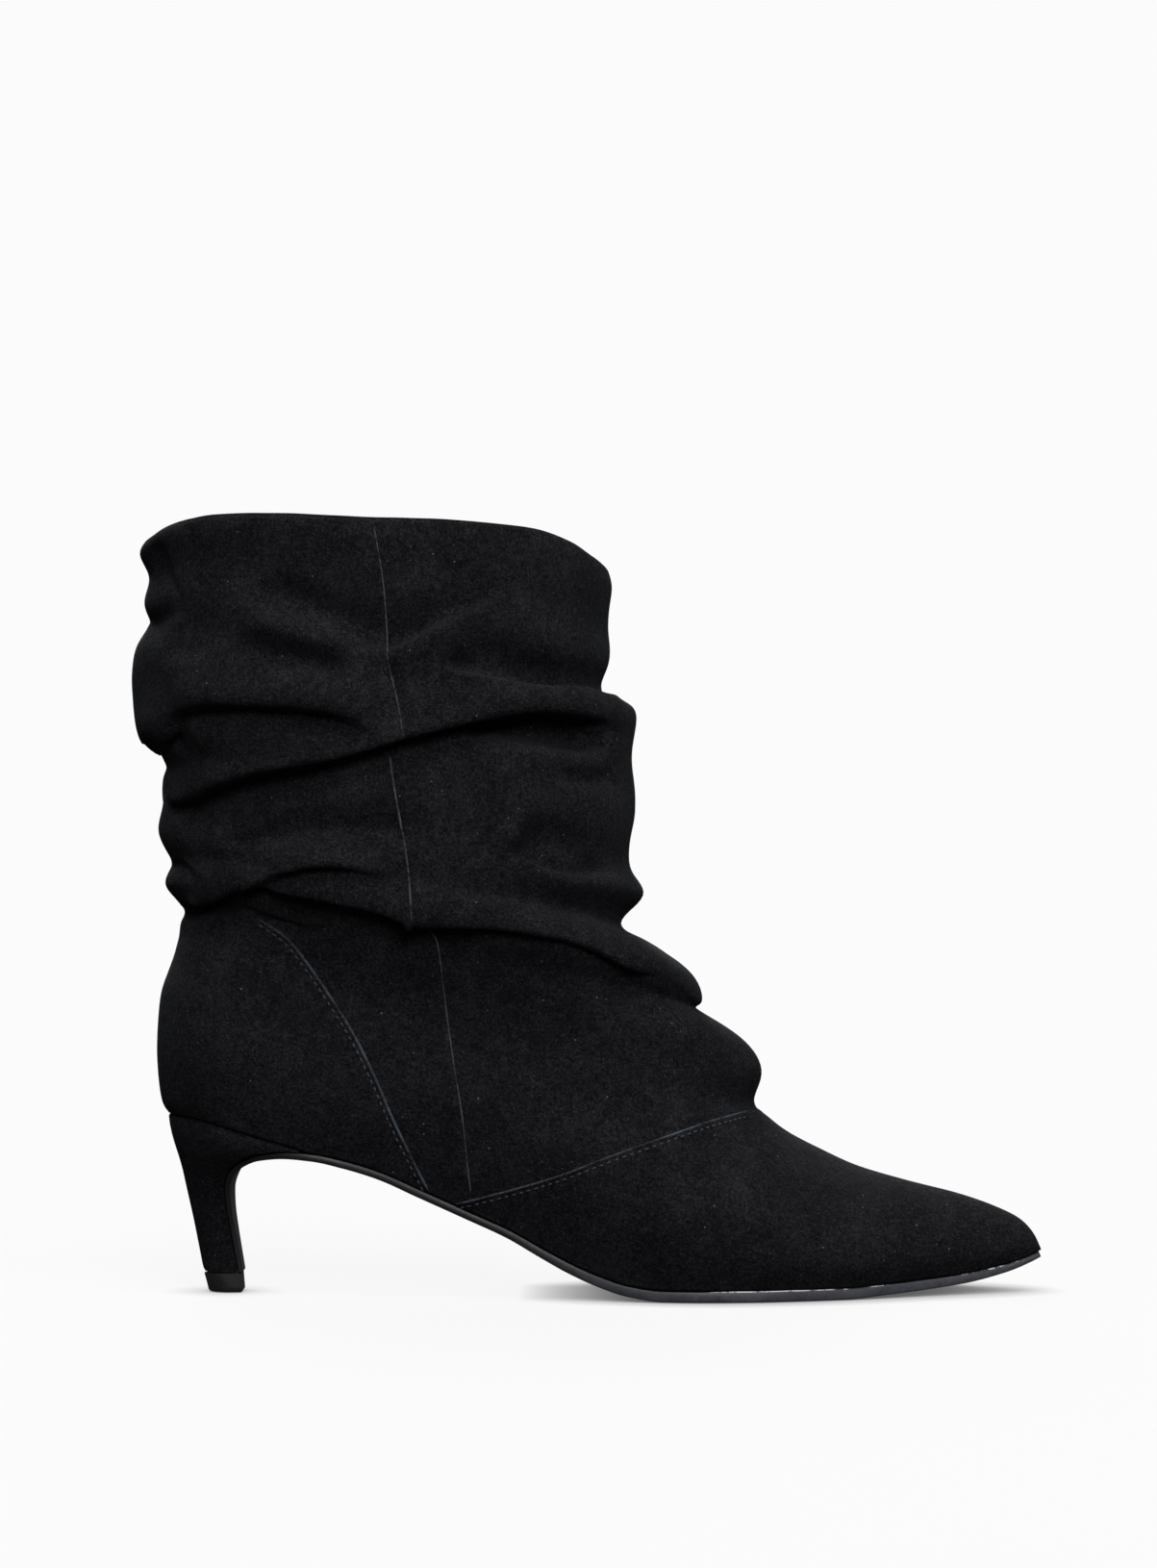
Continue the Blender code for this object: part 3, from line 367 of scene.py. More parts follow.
def base_surface(angles, longest):
    """Grid of points [row, angle] on the upper before its folds.  Up to the throat
    they lie on the last itself; above it they are splined through the sections."""
    pts, lay = (np.array(v) for v in zip(*[section(row, angles) for row in ROWS]))
    step = np.linalg.norm(np.diff(pts, axis=0), axis=-1)
    mean = step.mean(axis=1)
    ts = np.concatenate([[0], np.cumsum(np.sqrt(mean))])
    t = []
    for k in range(len(ROWS) - 1):
        n = max(1, int(np.ceil(mean[k] / longest)))
        t += list(np.linspace(ts[k], ts[k + 1], n, endpoint=False))
    t = np.array(t + [ts[-1]])
    grid = natural(ts, pts, t)
    names = [row[0] for row in ROWS]
    k, top = names.index("vamp"), names.index("throat")
    backs = natural(ts[:top + 1], col(ROWS[:top + 1], ROW_COLS, "x_back"), t[t <= ts[top]])
    for i, (x, share) in enumerate(np.moveaxis(natural(ts[:top + 1], lay[:top + 1], t[t <= ts[top]]), -1, 1)):
        mid, half, z = last_point(x, np.clip(share, 0, 1), backs[i])
        on_last = np.stack([x, mid + np.where(angles <= np.pi, -1, 1) * half, z], axis=-1)
        w = np.clip((ts[top] - t[i]) / (ts[top] - ts[k]), 0, 1)
        w = w * w * (3 - 2 * w)
        grid[i] = w * on_last + (1 - w) * grid[i]
    return grid

def grid_normals(p):
    """Outward unit normals of a grid [row, angle], closed round the angle."""
    du = np.roll(p, -1, axis=1) - np.roll(p, 1, axis=1)
    dv = np.empty_like(p)
    dv[1:-1], dv[0], dv[-1] = p[2:] - p[:-2], p[1] - p[0], p[-1] - p[-2]
    n = np.cross(dv, du)
    return -n / np.maximum(np.linalg.norm(n, axis=-1, keepdims=True), 1e-9)


def heel_ring(xb, zb, xf, zf_, w, w_front, to_plan=0.0, on_seat=False, n=12):
    """A section of the heel, front corner round the back to the other front corner."""
    ring = []
    length = xf - xb
    s_line = (1 - np.cos(np.linspace(0, np.pi / 2, n))) ** 1.0
    for side in (-1, 1):
        part = []
        for s in s_line:
            x = xb + s * length
            rnd = min(1.0, w / length * 1.05)
            y = w * np.sqrt(max(0.0, 1 - max(0.0, 1 - s / rnd) ** 2))
            y *= 1 - (1 - w_front / w) * max(0.0, (s - rnd * 0.7) / (1 - rnd * 0.7 + 1e-6)) ** 2 \
                if rnd * 0.7 < 1 else 1
            m, h = plan(x, 3.4, LAST_LENGTH)
            y = (1 - to_plan) * side * y + to_plan * (float(m) * min(1.0, max(0.0, (x - 27) / 18)) + side * float(h))
            z = float(feather(x)) - GAP if on_seat else zb + (zf_ - zb) * s
            part.append((x, y, z))
        ring.append(part)
    lat, med = ring
    return list(reversed(lat)) + med[1:]


# ------------------------------------------------------------------ folds
# A fold runs along a line drawn on the side view, in the last's own x and z (mm).
# lap: the cloth on its upper side hangs over the cloth below.  step: the cloth on
# its lower side stands out under the cloth above.  crease: a sharp valley.  trough
# and ridge: soft bed and back.  high and deep are how far the crest stands out and the bed sinks, up and
# down their widths on the two sides, edge the width of the turn between them, over
# how far the crest hangs across the bed, t0 and t1 the shares of the line over which
# it fades in and out, inner how strongly the inner side has a like fold.
FOLD_COLS = ("name", "kind", "line", "high", "deep", "up", "down", "edge", "over", "t0", "t1", "inner")
FOLDS = [
    # the vee under the collar, at the side seam
    ("vee back bed",     "trough", ((20, 210), (35.5, 205.5), (47.4, 201.5), (57, 197.5), (67, 192.0)), 0.0, 2.6, 6, 5, 1.0, 0.0, 0.30, 0.12, 0.5),
    ("vee back arm",     "ridge",  ((20, 199.5), (35.5, 195.8), (47.4, 192.0), (60, 188.0)), 2.3, 0.0, 5, 5, 1.0, 0.0, 0.30, 0.25, 0.5),
    ("vee front arm",    "step",   ((65, 188.5), (72, 191.2), (77.7, 193.8), (81.9, 196.7), (87.8, 199.4), (98.7, 204.9), (106, 208.5)), 2.0, 3.2, 8, 9, 0.8, 0.0, 0.12, 0.42, 0.6),
    ("under vee back",   "trough", ((22, 190), (34.7, 188.3), (50, 185.5), (58, 182.5)), 0.0, 2.9, 5, 4.5, 1.0, 0.0, 0.35, 0.35, 0.4),
    ("seam valley",      "trough", ((67.6, 190.5), (69.6, 181), (71.6, 172), (72.6, 165.5)), 0.0, 1.0, 2.6, 2.2, 1.0, 0.0, 0.30, 0.20, 0.5),
    ("under vee front",  "trough", ((90, 192.5), (100, 189.0), (112, 185.5), (124, 183.5)), 0.0, 1.6, 6, 4, 1.0, 0.0, 0.30, 0.25, 0.4),
    # the back, below the collar
    ("back collar dent", "trough", ((-1, 222), (0.7, 218.2), (2.3, 212.6), (5.5, 206.3), (7, 202.5)), 0.0, 0.9, 1.8, 2.2, 1.0, 0.0, 0.15, 0.12, 0.3),
    ("back collar tuck", "trough", ((8, 204), (4.5, 201), (1.5, 199.2), (-3, 196.6)), 0.0, 1.1, 2.0, 2.2, 1.0, 0.0, 0.20, 0.15, 0.3),
    ("back pocket",      "trough", ((1, 191), (8, 189.5), (19, 188)), 0.0, 1.3, 4, 3.5, 1.0, 0.0, 0.25, 0.45, 0.3),
    # the big roll at the back and its underside
    ("back roll",        "ridge",  ((3, 180), (16, 178.2), (30, 177.5), (46, 177), (57, 173.5), (64, 169.0)), 1.9, 0.0, 7.5, 5.5, 1.0, 0.0, 0.12, 0.15, 0.6),
    ("back roll under",  "lap",    ((2.7, 159.5), (4, 164), (4.8, 168.5), (8, 171.2), (16.5, 172.9), (27.6, 172.5), (39.5, 171.9), (51.4, 170.4), (59.3, 166.8), (66, 163.4)), 1.6, 2.9, 8, 5.0, 0.8, 0.8, 0.05, 0.28, 0.6),
    ("roll below",       "ridge",  ((10, 147), (22, 153), (36.7, 157.5), (50, 160), (60, 161.3)), 1.2, 0.0, 5.0, 4.0, 1.0, 0.0, 0.20, 0.30, 0.5),
    ("back roll tuck",   "trough", ((-4, 161.2), (0, 160.8), (4, 160.4), (9, 160.2)), 0.0, 1.9, 2.4, 2.4, 1.0, 0.0, 0.05, 0.55, 0.4),
    # the long diagonal and the wedge at its front end
    ("long diagonal",    "lap",    ((3, 142.5), (10.5, 145.2), (18.7, 148.9), (28, 151.8), (40, 154.6), (52, 157.0), (61.8, 159.6), (72.7, 162.9), (87, 166.3), (99, 168.8), (114, 170.8), (129, 168.7), (134, 166)), 2.2, 4.8, 8, 7.5, 0.8, 1.5, 0.05, 0.12, 0.7),
    ("wedge foot",       "step", ((90, 161.6), (95.3, 163.3), (102, 163.9), (108.7, 162.7), (116, 161.4), (124, 159.9), (129, 159.5), (135.5, 161.6)), 1.2, 3.6, 5.0, 8, 1.0, 0.0, 0.20, 0.18, 0.6),
    ("wedge bed",        "trough", ((90, 165.2), (103, 167.2), (116, 166.4), (128, 164.2), (134, 163.5)), 0.0, 3.4, 4, 4.5, 1.0, 0.0, 0.25, 0.22, 0.5),
    ("pinch",            "trough", ((130, 159), (133, 164), (137, 168.5)), 0.0, 1.2, 1.8, 2.2, 1.0, 0.0, 0.20, 0.25, 0.3),
    ("front fold top",   "step",   ((84, 184.4), (88.6, 183.7), (102, 181.2), (113.8, 179.1), (122.1, 178.3), (133.8, 176.2), (137, 175.6)), 1.8, 3.6, 6.5, 6.5, 0.8, 0.0, 0.20, 0.34, 0.8),
    # the front panel
    ("panel top hollow", "trough", ((117, 153.4), (127, 151.5), (137, 152)), 0.0, 1.6, 3, 3, 1.0, 0.0, 0.30, 0.10, 0.4),
    ("panel ridge",      "ridge",  ((113, 152), (110.5, 145), (109.3, 141), (104, 133.5), (99.5, 127.6)), 2.1, 0.0, 3.6, 3.6, 1.0, 0.0, 0.30, 0.30, 0.4),
    ("panel hollow",     "trough", ((107, 133), (118, 132.8), (131, 130)), 0.0, 2.2, 6, 4, 1.0, 0.0, 0.30, 0.40, 0.4),
    ("small roll top",   "step",   ((103, 128.8), (109.5, 127.6), (115.4, 125.1), (122.1, 123.4), (128.8, 123.0), (140.5, 123.2)), 1.4, 2.8, 5, 6, 0.8, 0.0, 0.25, 0.24, 0.7),
    ("front wye",        "trough", ((92, 126), (96, 130), (99, 134)), 0.0, 0.6, 1.6, 1.6, 1.0, 0.0, 0.30, 0.30, 0.0),
    # the low fold at the back and its lip
    ("low fold top",     "crease", ((19, 130.5), (23.4, 132.5), (37, 135.6), (50, 136.6), (64, 136.8), (74, 137)), 0.0, 2.4, 6, 5, 1.0, 0.0, 0.25, 0.10, 0.6),
    ("low fold under",   "lap",    ((26, 119.3), (28.2, 119.9), (34.3, 122.3), (39.7, 124), (45.1, 125), (53.9, 124.7), (64, 123), (72, 121.5)), 2.0, 2.2, 8, 3.4, 0.9, 0.5, 0.06, 0.40, 0.6),
    ("back fold foot",   "lap",    ((6.5, 114.6), (12.5, 114.0), (17.3, 115.3), (23.4, 118.1), (28.8, 120.0)), 1.6, 2.0, 8, 4, 0.9, 0.9, 0.22, 0.12, 0.5),
    ("low fold lip",     "lap",    ((25, 119.8), (28.9, 119.1), (37, 117.4), (45.1, 116.0), (53.9, 114.0), (61.4, 112.6), (67.5, 110.9), (75.6, 107.5)), 1.6, 2.2, 7, 5, 0.8, 0.9, 0.08, 0.03, 0.5),
    ("second lip",       "lap",    ((16, 115.4), (22.1, 114.7), (34.3, 110.6), (43.8, 107.9), (53, 105.0)), 0.5, 0.7, 3, 3.0, 0.8, 0.2, 0.15, 0.35, 0.3),
    ("back lobe",        "trough", ((4.5, 127), (6.5, 126.2), (9.2, 124.1), (11.2, 121.5), (11.6, 118.7), (11.3, 116)), 0.0, 1.1, 1.2, 2.6, 1.0, 0.0, 0.15, 0.15, 0.0),
    # the lip over the vamp
    ("front lip",        "lap",    ((73, 107.9), (75.6, 107.6), (95.3, 107.1), (104, 106.3), (113.1, 104.6), (120.9, 103.2), (127.3, 100.9), (133, 98.3), (138.7, 95.2), (144.4, 93.0), (149, 90.8)), 1.5, 1.8, 10, 5.0, 0.8, 1.0, 0.03, 0.20, 0.8),
    ("front lip end",    "step",   ((138, 95.6), (144.4, 93.0), (150.1, 90.2), (155.8, 86.6), (162, 82.5)), 0.1, 0.8, 4.5, 4, 0.6, 0.0, 0.30, 0.34, 0.8),
    ("vamp crease",      "ridge",  ((127, 81), (134, 75.5), (139, 70), (142, 64), (144.5, 60)), 0.45, 0.0, 3.2, 3.2, 1.0, 0.0, 0.35, 0.35, 0.0),
    ("ankle hollow",     "trough", ((112, 92), (124, 84), (138, 79)), 0.0, 0.4, 7, 7, 1.0, 0.0, 0.35, 0.35, 0.5),
]

# Seams on both sides, in the same side view.  lap 1 marks a cut edge that lies on
# top, with a row of stitches at pitch beside it; above or below says on which side.
SEAM_COLS = ("name", "line", "width", "height", "stitch", "pitch", "inner", "sink")
SEAMS = [
    ("vamp_seam",       ((87.7, 25.4), (94.3, 26.9), (107.4, 30.3), (119.6, 34.0), (132.7, 39.0), (148.7, 44.7), (163.2, 49.8), (175.5, 53.2)), 0.70, 0.42, -1.4, 2.3, 1, 0.0),
    ("counter_seam",    ((30.0, 110.0), (38.2, 104.4), (43.0, 98.7), (48.7, 90.7), (57.2, 77.4), (63.8, 64.5), (70.1, 50.0), (76.6, 36.6), (80.3, 29.6)), 0.76, 0.42, -1.4, 2.3, 1, 0.0),
    ("side_seam_low",   ((80.9, 106.4), (83.2, 102.0), (85.4, 84.5), (87.7, 67.9), (90.3, 51.7), (91.7, 38.9), (92.9, 28.6)), 0.42, 0.20, 0.0, 0.0, 1, 0.0),
    ("side_seam_mid",   ((68.9, 158.2), (70.2, 148.6), (72.7, 135.2), (74.4, 123.4), (75.2, 112.0), (75.6, 108.8)), 0.62, 0.42, 0.0, 0.0, 1, 0.0),
    ("side_seam_top",   ((64.2, 226.2), (66.8, 210.3), (68.0, 196.0), (68.4, 186.5), (71.1, 174.7), (72.4, 166.8), (73.0, 164.0)), 0.42, 0.26, 0.0, 0.0, 1, 0.0),
]

RELIEF = 1.25            # how strongly the folds stand and sink, times their tables
VIEW_D, EYE_X, EYE_Z = 1500.0, 124.8, 150.0      # the side view is drawn from this far
YAW = np.radians(0.5)
AROUND = 360
FINE = 1.05
ORIGIN = np.array([CENTRE_X, CENTRE_Y, 0.0])


def seen(p):
    """Where points show on the side view; the inner side is drawn mirrored."""
    y = np.abs(p[..., 1])
    k = VIEW_D / (VIEW_D - y)
    return (EYE_X + (p[..., 0] - EYE_X - y * np.sin(YAW)) * k,
            EYE_Z + (p[..., 2] - EYE_Z) * k)


def spline_line(pts, n):
    """Catmull-Rom through the corners of a line, as n points."""
    pts = np.array(pts, float)
    ends = np.concatenate([[2 * pts[0] - pts[1]], pts, [2 * pts[-1] - pts[-2]]])
    at = np.linspace(1, len(pts), n)
    return np.stack([catmull(ends[:, 0], at), catmull(ends[:, 1], at)], axis=-1)


def ease(t):
    t = np.clip(t, 0, 1)
    return t * t * (3 - 2 * t)


def near_line(u, v, line):
    """Signed distance (plus on the left of the line) and the share run along it."""
    best = np.full(u.shape, 1e9)
    dist, share = np.zeros_like(u), np.zeros_like(u)
    px, pz = np.zeros_like(u), np.zeros_like(u)
    n = len(line) - 1
    for k in range(n):
        a, b = line[k], line[k + 1]
        t = b - a
        ln2 = float(t @ t)
        s = np.clip(((u - a[0]) * t[0] + (v - a[1]) * t[1]) / ln2, 0, 1)
        du, dv = u - a[0] - s * t[0], v - a[1] - s * t[1]
        d2 = du * du + dv * dv
        m = d2 < best
        best = np.where(m, d2, best)
        side = np.where(t[0] * dv - t[1] * du >= 0, 1.0, -1.0)
        dist = np.where(m, side * np.sqrt(d2), dist)
        share = np.where(m, (k + s) / n, share)
        ln = np.sqrt(ln2)
        px, pz = np.where(m, -t[1] / ln, px), np.where(m, t[0] / ln, pz)
    return dist, share, px, pz


def fold_moves(p):
    """Outward push and sideways hang of every fold at the points of a grid."""
    u, v = seen(p)
    inside = ease((p[..., 1] + 3.0) / 24.0)
    loose = inside * ease((v - 122.0) / 16.0)        # the lip stays over the neck
    u = u + loose * 6.0 * np.sin(v / 21.0 + 0.7)
    v = v + loose * (8.5 * np.cos(u / 26.0 + 0.3) + 2.0 * np.sin(u / 7.5))
    push = np.zeros(u.shape)
    hang = np.zeros(u.shape + (2,))
    for row in FOLDS:
        f = dict(zip(FOLD_COLS, row))
        line = spline_line(f["line"], 36)
        reach = 2.6 * max(f["up"], f["down"]) + 2
        lo, hi = line.min(axis=0) - reach, line.max(axis=0) + reach
        m = (u > lo[0]) & (u < hi[0]) & (v > lo[1]) & (v < hi[1])
        if not m.any():
            continue
        d, s, px, pz = near_line(u[m], v[m], line)
        d = d - 0.75 * f["over"]
        env = ease(s / max(f["t0"], 1e-3)) * ease((1 - s) / max(f["t1"], 1e-3))
        env = env * (1 - inside[m] * (1 - f["inner"]))
        env = env * RELIEF
        width = np.where(d > 0, f["up"], f["down"])
        g = np.exp(-(d / width) ** 2)
        turn = np.tanh(d / f["edge"])
        if f["kind"] == "trough":
            q = -f["deep"] * g
        elif f["kind"] == "crease":
            q = -f["deep"] * np.exp(0.17 - np.sqrt((d / width) ** 2 + 0.03))
        elif f["kind"] == "ridge":
            q = f["high"] * g
        elif f["kind"] == "lap":
            q = 0.5 * (1 + turn) * f["high"] * g - 0.5 * (1 - turn) * f["deep"] * g
        else:
            q = 0.5 * (1 - turn) * f["high"] * g - 0.5 * (1 + turn) * f["deep"] * g
        push[m] += env * q
        if f["over"]:
            w = env * f["over"] * 0.5 * (1 + turn) * np.exp(-(np.maximum(d, 0) / (0.55 * f["up"])) ** 2)
            hang[..., 0][m] -= w * px
            hang[..., 1][m] -= w * pz
    return push, hang


def overlay_rise(p, u, v):
    """The vamp and the counter lie on the quarters: their edges stand out a little."""
    rise = np.zeros(u.shape)
    for name in ("vamp_seam", "counter_seam"):
        row = next(r for r in SEAMS if r[0] == name)
        line = spline_line(row[1], 40)
        lo, hi = line.min(axis=0) - 22, line.max(axis=0) + 22
        m = (u > lo[0]) & (u < hi[0]) & (v > lo[1]) & (v < hi[1])
        d, s, _, _ = near_line(u[m], v[m], line)
        rise[m] += 0.42 * ease((0.1 - d) / 0.5) * np.exp(-np.maximum(-d, 0) / 9.0)
        rise[m] -= 0.22 * np.exp(-((d - 0.7) / 0.7) ** 2)
    for name, swell in (("side_seam_low", 0.58), ("side_seam_mid", 0.22), ("side_seam_top", 0.22)):
        band = spline_line(next(r for r in SEAMS if r[0] == name)[1], 30)
        d, s, _, _ = near_line(u, v, band)
        ends = ease(s / 0.1) if name == "side_seam_low" else 1.0
        rise += ends * (swell * np.exp(-((d + 1.8) / 1.5) ** 2) - 0.55 * np.exp(-((d - 0.75) / 0.75) ** 2))
    return rise


def smooth_grid(p, times, rows=None):
    """Evens out a grid [row, angle] closed round the angle, its end rows kept."""
    for _ in range(times):
        q = p.copy()
        q[1:-1] = (p[:-2] + p[2:] + np.roll(p, 1, 1)[1:-1] + np.roll(p, -1, 1)[1:-1] + 2 * p[1:-1]) / 6
        if rows is not None:
            q = p + (q - p) * rows
        p = q
    return p


def ripple(p, size, seed):
    """Smooth noise over points, about -1 to 1."""
    flat = p.reshape(-1, 3) / size + seed
    return np.array([noise.noise(Vector(c)) for c in flat]).reshape(p.shape[:-1]) * 1.6


def worked_surface(n_around, longest):
    """The upper's outer face with its folds, overlays and small ripples."""
    angles = np.linspace(0, 2 * np.pi, n_around, endpoint=False)
    base = base_surface(angles, longest)
    tip = ease((base[..., 0] - 248.0) / 8.0)[..., None]
    base = smooth_grid(base, 6, tip)
    normals = grid_normals(smooth_grid(base, 4))
    push, hang = fold_moves(base)
    u, v = seen(base)
    soft = ease((base[..., 2] - 96.0) / 24.0)
    loose = 0.55 * ripple(base, 26.0, 3.7) + 0.30 * ripple(base, 11.0, 9.1)
    firm = 0.16 * ripple(base, 30.0, 5.3)
    push = push + soft * loose + (1 - soft) * firm * ease((base[..., 2] - feather(base[..., 0])) / 12.0)
    push = push + overlay_rise(base, u, v) * ease((base[..., 2] - feather(base[..., 0])) / 3.0)
    p = base + normals * push[..., None]
    p[..., 0] += hang[..., 0]
    p[..., 2] += hang[..., 1]
    return base, p, push


# ------------------------------------------------------------------ meshes
def make_mesh(name, verts, faces, mats, slots=None, sharp=None):
    me = bpy.data.meshes.new(name)
    me.from_pydata([tuple(float(c) for c in v) for v in (np.asarray(verts, float) - ORIGIN) * MM], [], faces)
    me.validate()
    me.update()
    for m in mats:
        me.materials.append(m)
    if slots is not None:
        me.polygons.foreach_set("material_index", slots)
    me.shade_smooth()
    if sharp:
        me.set_sharp_from_angle(angle=np.radians(sharp))
    ob = bpy.data.objects.new(name, me)
    bpy.context.scene.collection.objects.link(ob)
    return ob


def grid_faces(rows, n, flip=False):
    faces = []
    for k in range(rows - 1):
        for i in range(n):
            j = (i + 1) % n
            f = (k * n + i, k * n + j, (k + 1) * n + j, (k + 1) * n + i)
            faces.append(f[::-1] if flip else f)
    return faces


def build_suede_upper(mats):
    base, p, push = worked_surface(AROUND, FINE)
    n = grid_normals(p)
    # lasting margin, turned in under the feather edge
    half = np.abs(p[0][:, 1] - plan(p[0][:, 0])[0])
    out = n[0] * np.array([1.0, 1.0, 0.0])
    out /= np.linalg.norm(out, axis=1, keepdims=True)
    margin = [p[0] - out * np.minimum(s, k * (0.6 * half + 0.4))[:, None]
              for s, k in ((2.6, 1.0), (0.9, 0.5))]
    # the collar's turned edge and its facing inside
    r = COLLAR_EDGE
    top, out = p[-1].copy(), n[-1] * np.array([1.0, 1.0, 0.0])
    out /= np.linalg.norm(out, axis=1, keepdims=True)
    p[-1, :, 2] -= r
    top[:, 2] -= r
    rim = []
    for a in np.radians([30, 60, 90, 120, 150]):
        rim.append(top - out * r + out * r * np.cos(a) + np.array([0, 0, r * np.sin(a)]))
    down = [k for k in range(len(p) - 1, 0, -3) if (top[:, 2] - p[k, :, 2]).mean() < 15.0]
    inner = [p[k] - n[k] * 2 * r for k in down]
    rings = margin + list(p) + rim + inner
    slots = [0] * ((len(rings) - 1) * AROUND)
    verts = np.concatenate(rings)
    ob = make_mesh("upper_suede", verts, grid_faces(len(rings), AROUND), mats, slots)
    return ob, p


def build_lining(mat):
    """The lining leather, from under the collar's facing down to the insole."""
    n_around = 132
    base, p, push = worked_surface(n_around, 3.2)
    low = push.copy()
    for _ in range(2):
        low = np.minimum.reduce([low, np.roll(low, 1, 1), np.roll(low, -1, 1),
                                 np.vstack([low[:1], low[:-1]]), np.vstack([low[1:], low[-1:]])])
    for _ in range(3):
        low[1:-1] = (low[:-2] + low[2:] + np.roll(low, 1, 1)[1:-1] + np.roll(low, -1, 1)[1:-1]) / 4
    q = base + grid_normals(smooth_grid(base, 2)) * (low - 2.25)[..., None]
    keep = [k for k in range(len(q)) if (base[-1, :, 2] - base[k, :, 2]).mean() > 9.0]
    q = q[keep]
    return make_mesh("lining", q.reshape(-1, 3), grid_faces(len(q), n_around, flip=True), [mat])


def tree_of(obj):
    me = obj.data
    verts = [Vector(v.co) / MM + Vector(ORIGIN) for v in me.vertices]
    return BVHTree.FromPolygons(verts, [tuple(q.vertices) for q in me.polygons])


def on_surface(tree, line, inner):
    """Points and normals where a side-view line lies on the surface."""
    flip = -1.0 if inner else 1.0
    eye = Vector((EYE_X + VIEW_D * np.sin(YAW), -VIEW_D * np.cos(YAW) * flip, EYE_Z))
    out = []
    for u, v in line:
        goal = Vector((EYE_X + (u - EYE_X) * np.cos(YAW), (u - EYE_X) * np.sin(YAW) * flip, v))
        hit, nor, _, _ = tree.ray_cast(eye, (goal - eye).normalized())
        if hit is not None:
            out.append((np.array(hit), np.array(nor)))
    return out


def even_path(points, step):
    p = np.array([q[0] for q in points])
    n = np.array([q[1] for q in points])
    for _ in range(2):
        p[1:-1] = (p[:-2] + 2 * p[1:-1] + p[2:]) / 4
        n[1:-1] = (n[:-2] + n[1:-1] + n[2:]) / 3
    s = np.concatenate([[0], np.cumsum(np.linalg.norm(np.diff(p, axis=0), axis=1))])
    at = np.linspace(0, s[-1], max(2, int(s[-1] / step) + 1))
    p = np.stack([np.interp(at, s, p[:, k]) for k in range(3)], axis=-1)
    n = np.stack([np.interp(at, s, n[:, k]) for k in range(3)], axis=-1)
    return p, n / np.linalg.norm(n, axis=1, keepdims=True)


def ribbon(p, n, width, height):
    """Rings of a low rounded strip lying along a path."""
    t = np.gradient(p, axis=0)
    t /= np.linalg.norm(t, axis=1, keepdims=True)
    b = np.cross(n, t)
    rings = []
    for k in range(len(p)):
        f = min(1.0, 0.35 + k / 4, 0.35 + (len(p) - 1 - k) / 4)
        ring = []
        for side, up in ((0.5, -0.35), (0.5, 0.1), (0.42, 0.7), (0.1, 1.0), (-0.28, 0.92), (-0.5, 0.45), (-0.5, -0.35)):
            ring.append(p[k] + b[k] * side * width * f + n[k] * (up * height * f))
        rings.append(ring)
    return rings


def loft(rings, verts, faces):
    base, m = len(verts), len(rings[0])
    for ring in rings:
        verts.extend(ring)
    for k in range(len(rings) - 1):
        for i in range(m):
            j = (i + 1) % m
            faces.append((base + k * m + i, base + k * m + j, base + (k + 1) * m + j, base + (k + 1) * m + i))
    faces.append(tuple(base + i for i in range(m))[::-1])
    last = base + (len(rings) - 1) * m
    faces.append(tuple(last + i for i in range(m)))


def stitch(c, t, n, length, thick, verts, faces):
    """One stitch: a short rounded bar, its ends drawn down into the suede."""
    b = np.cross(n, t)
    rings = []
    for f, r, up in ((-0.5, 0.45, -0.35), (-0.36, 0.9, 0.12), (0.0, 1.0, 0.34), (0.36, 0.9, 0.12), (0.5, 0.45, -0.35)):
        mid = c + t * f * length + n * up * thick
        rings.append([mid + (b * np.cos(a) + n * np.sin(a)) * thick * 0.5 * r
                      for a in np.linspace(0, 2 * np.pi, 6, endpoint=False)])
    loft(rings, verts, faces)


def build_edge_highlight(mat):
    """Painted highlight: a light line along the joint of sole and upper, on both sides of the ball, and its specks near
    the toe."""
    verts, faces = [], []
    for side in (-1, 1):
        for x0, x1 in ((163.0, 216.0), (234.0, 257.0)):
            x = np.arange(x0, x1, 0.7)
            mid, half = plan(x, 3.4 - EDGE, LAST_LENGTH + EDGE)
            half2 = plan(x + 0.5, 3.4 - EDGE, LAST_LENGTH + EDGE)[1]
            mid2 = plan(x + 0.5, 3.4 - EDGE, LAST_LENGTH + EDGE)[0]
            z = np.interp(x, TOP_X, TOP_Z)
            rings = []
            for k in range(len(x)):
                t = np.array([0.5, (mid2[k] - mid[k]) + side * (half2[k] - half[k]), 0.0])
                t /= np.linalg.norm(t)
                out = np.array([-t[1], t[0], 0.0]) * side
                c = np.array([x[k], mid[k] + side * half[k], z[k]]) + out * 0.06
                r = 0.21 * min(1.0, 0.2 + k / 12, 0.2 + (len(x) - 1 - k) / 12)
                rings.append([c + out * r * np.cos(a) * 0.7 + np.array([0, 0, r * np.sin(a)])
                              for a in np.linspace(0, 2 * np.pi, 8, endpoint=False)])
            loft([ring[::side] for ring in rings], verts, faces)
    return make_mesh("sole_edge_highlight", verts, faces, [mat])


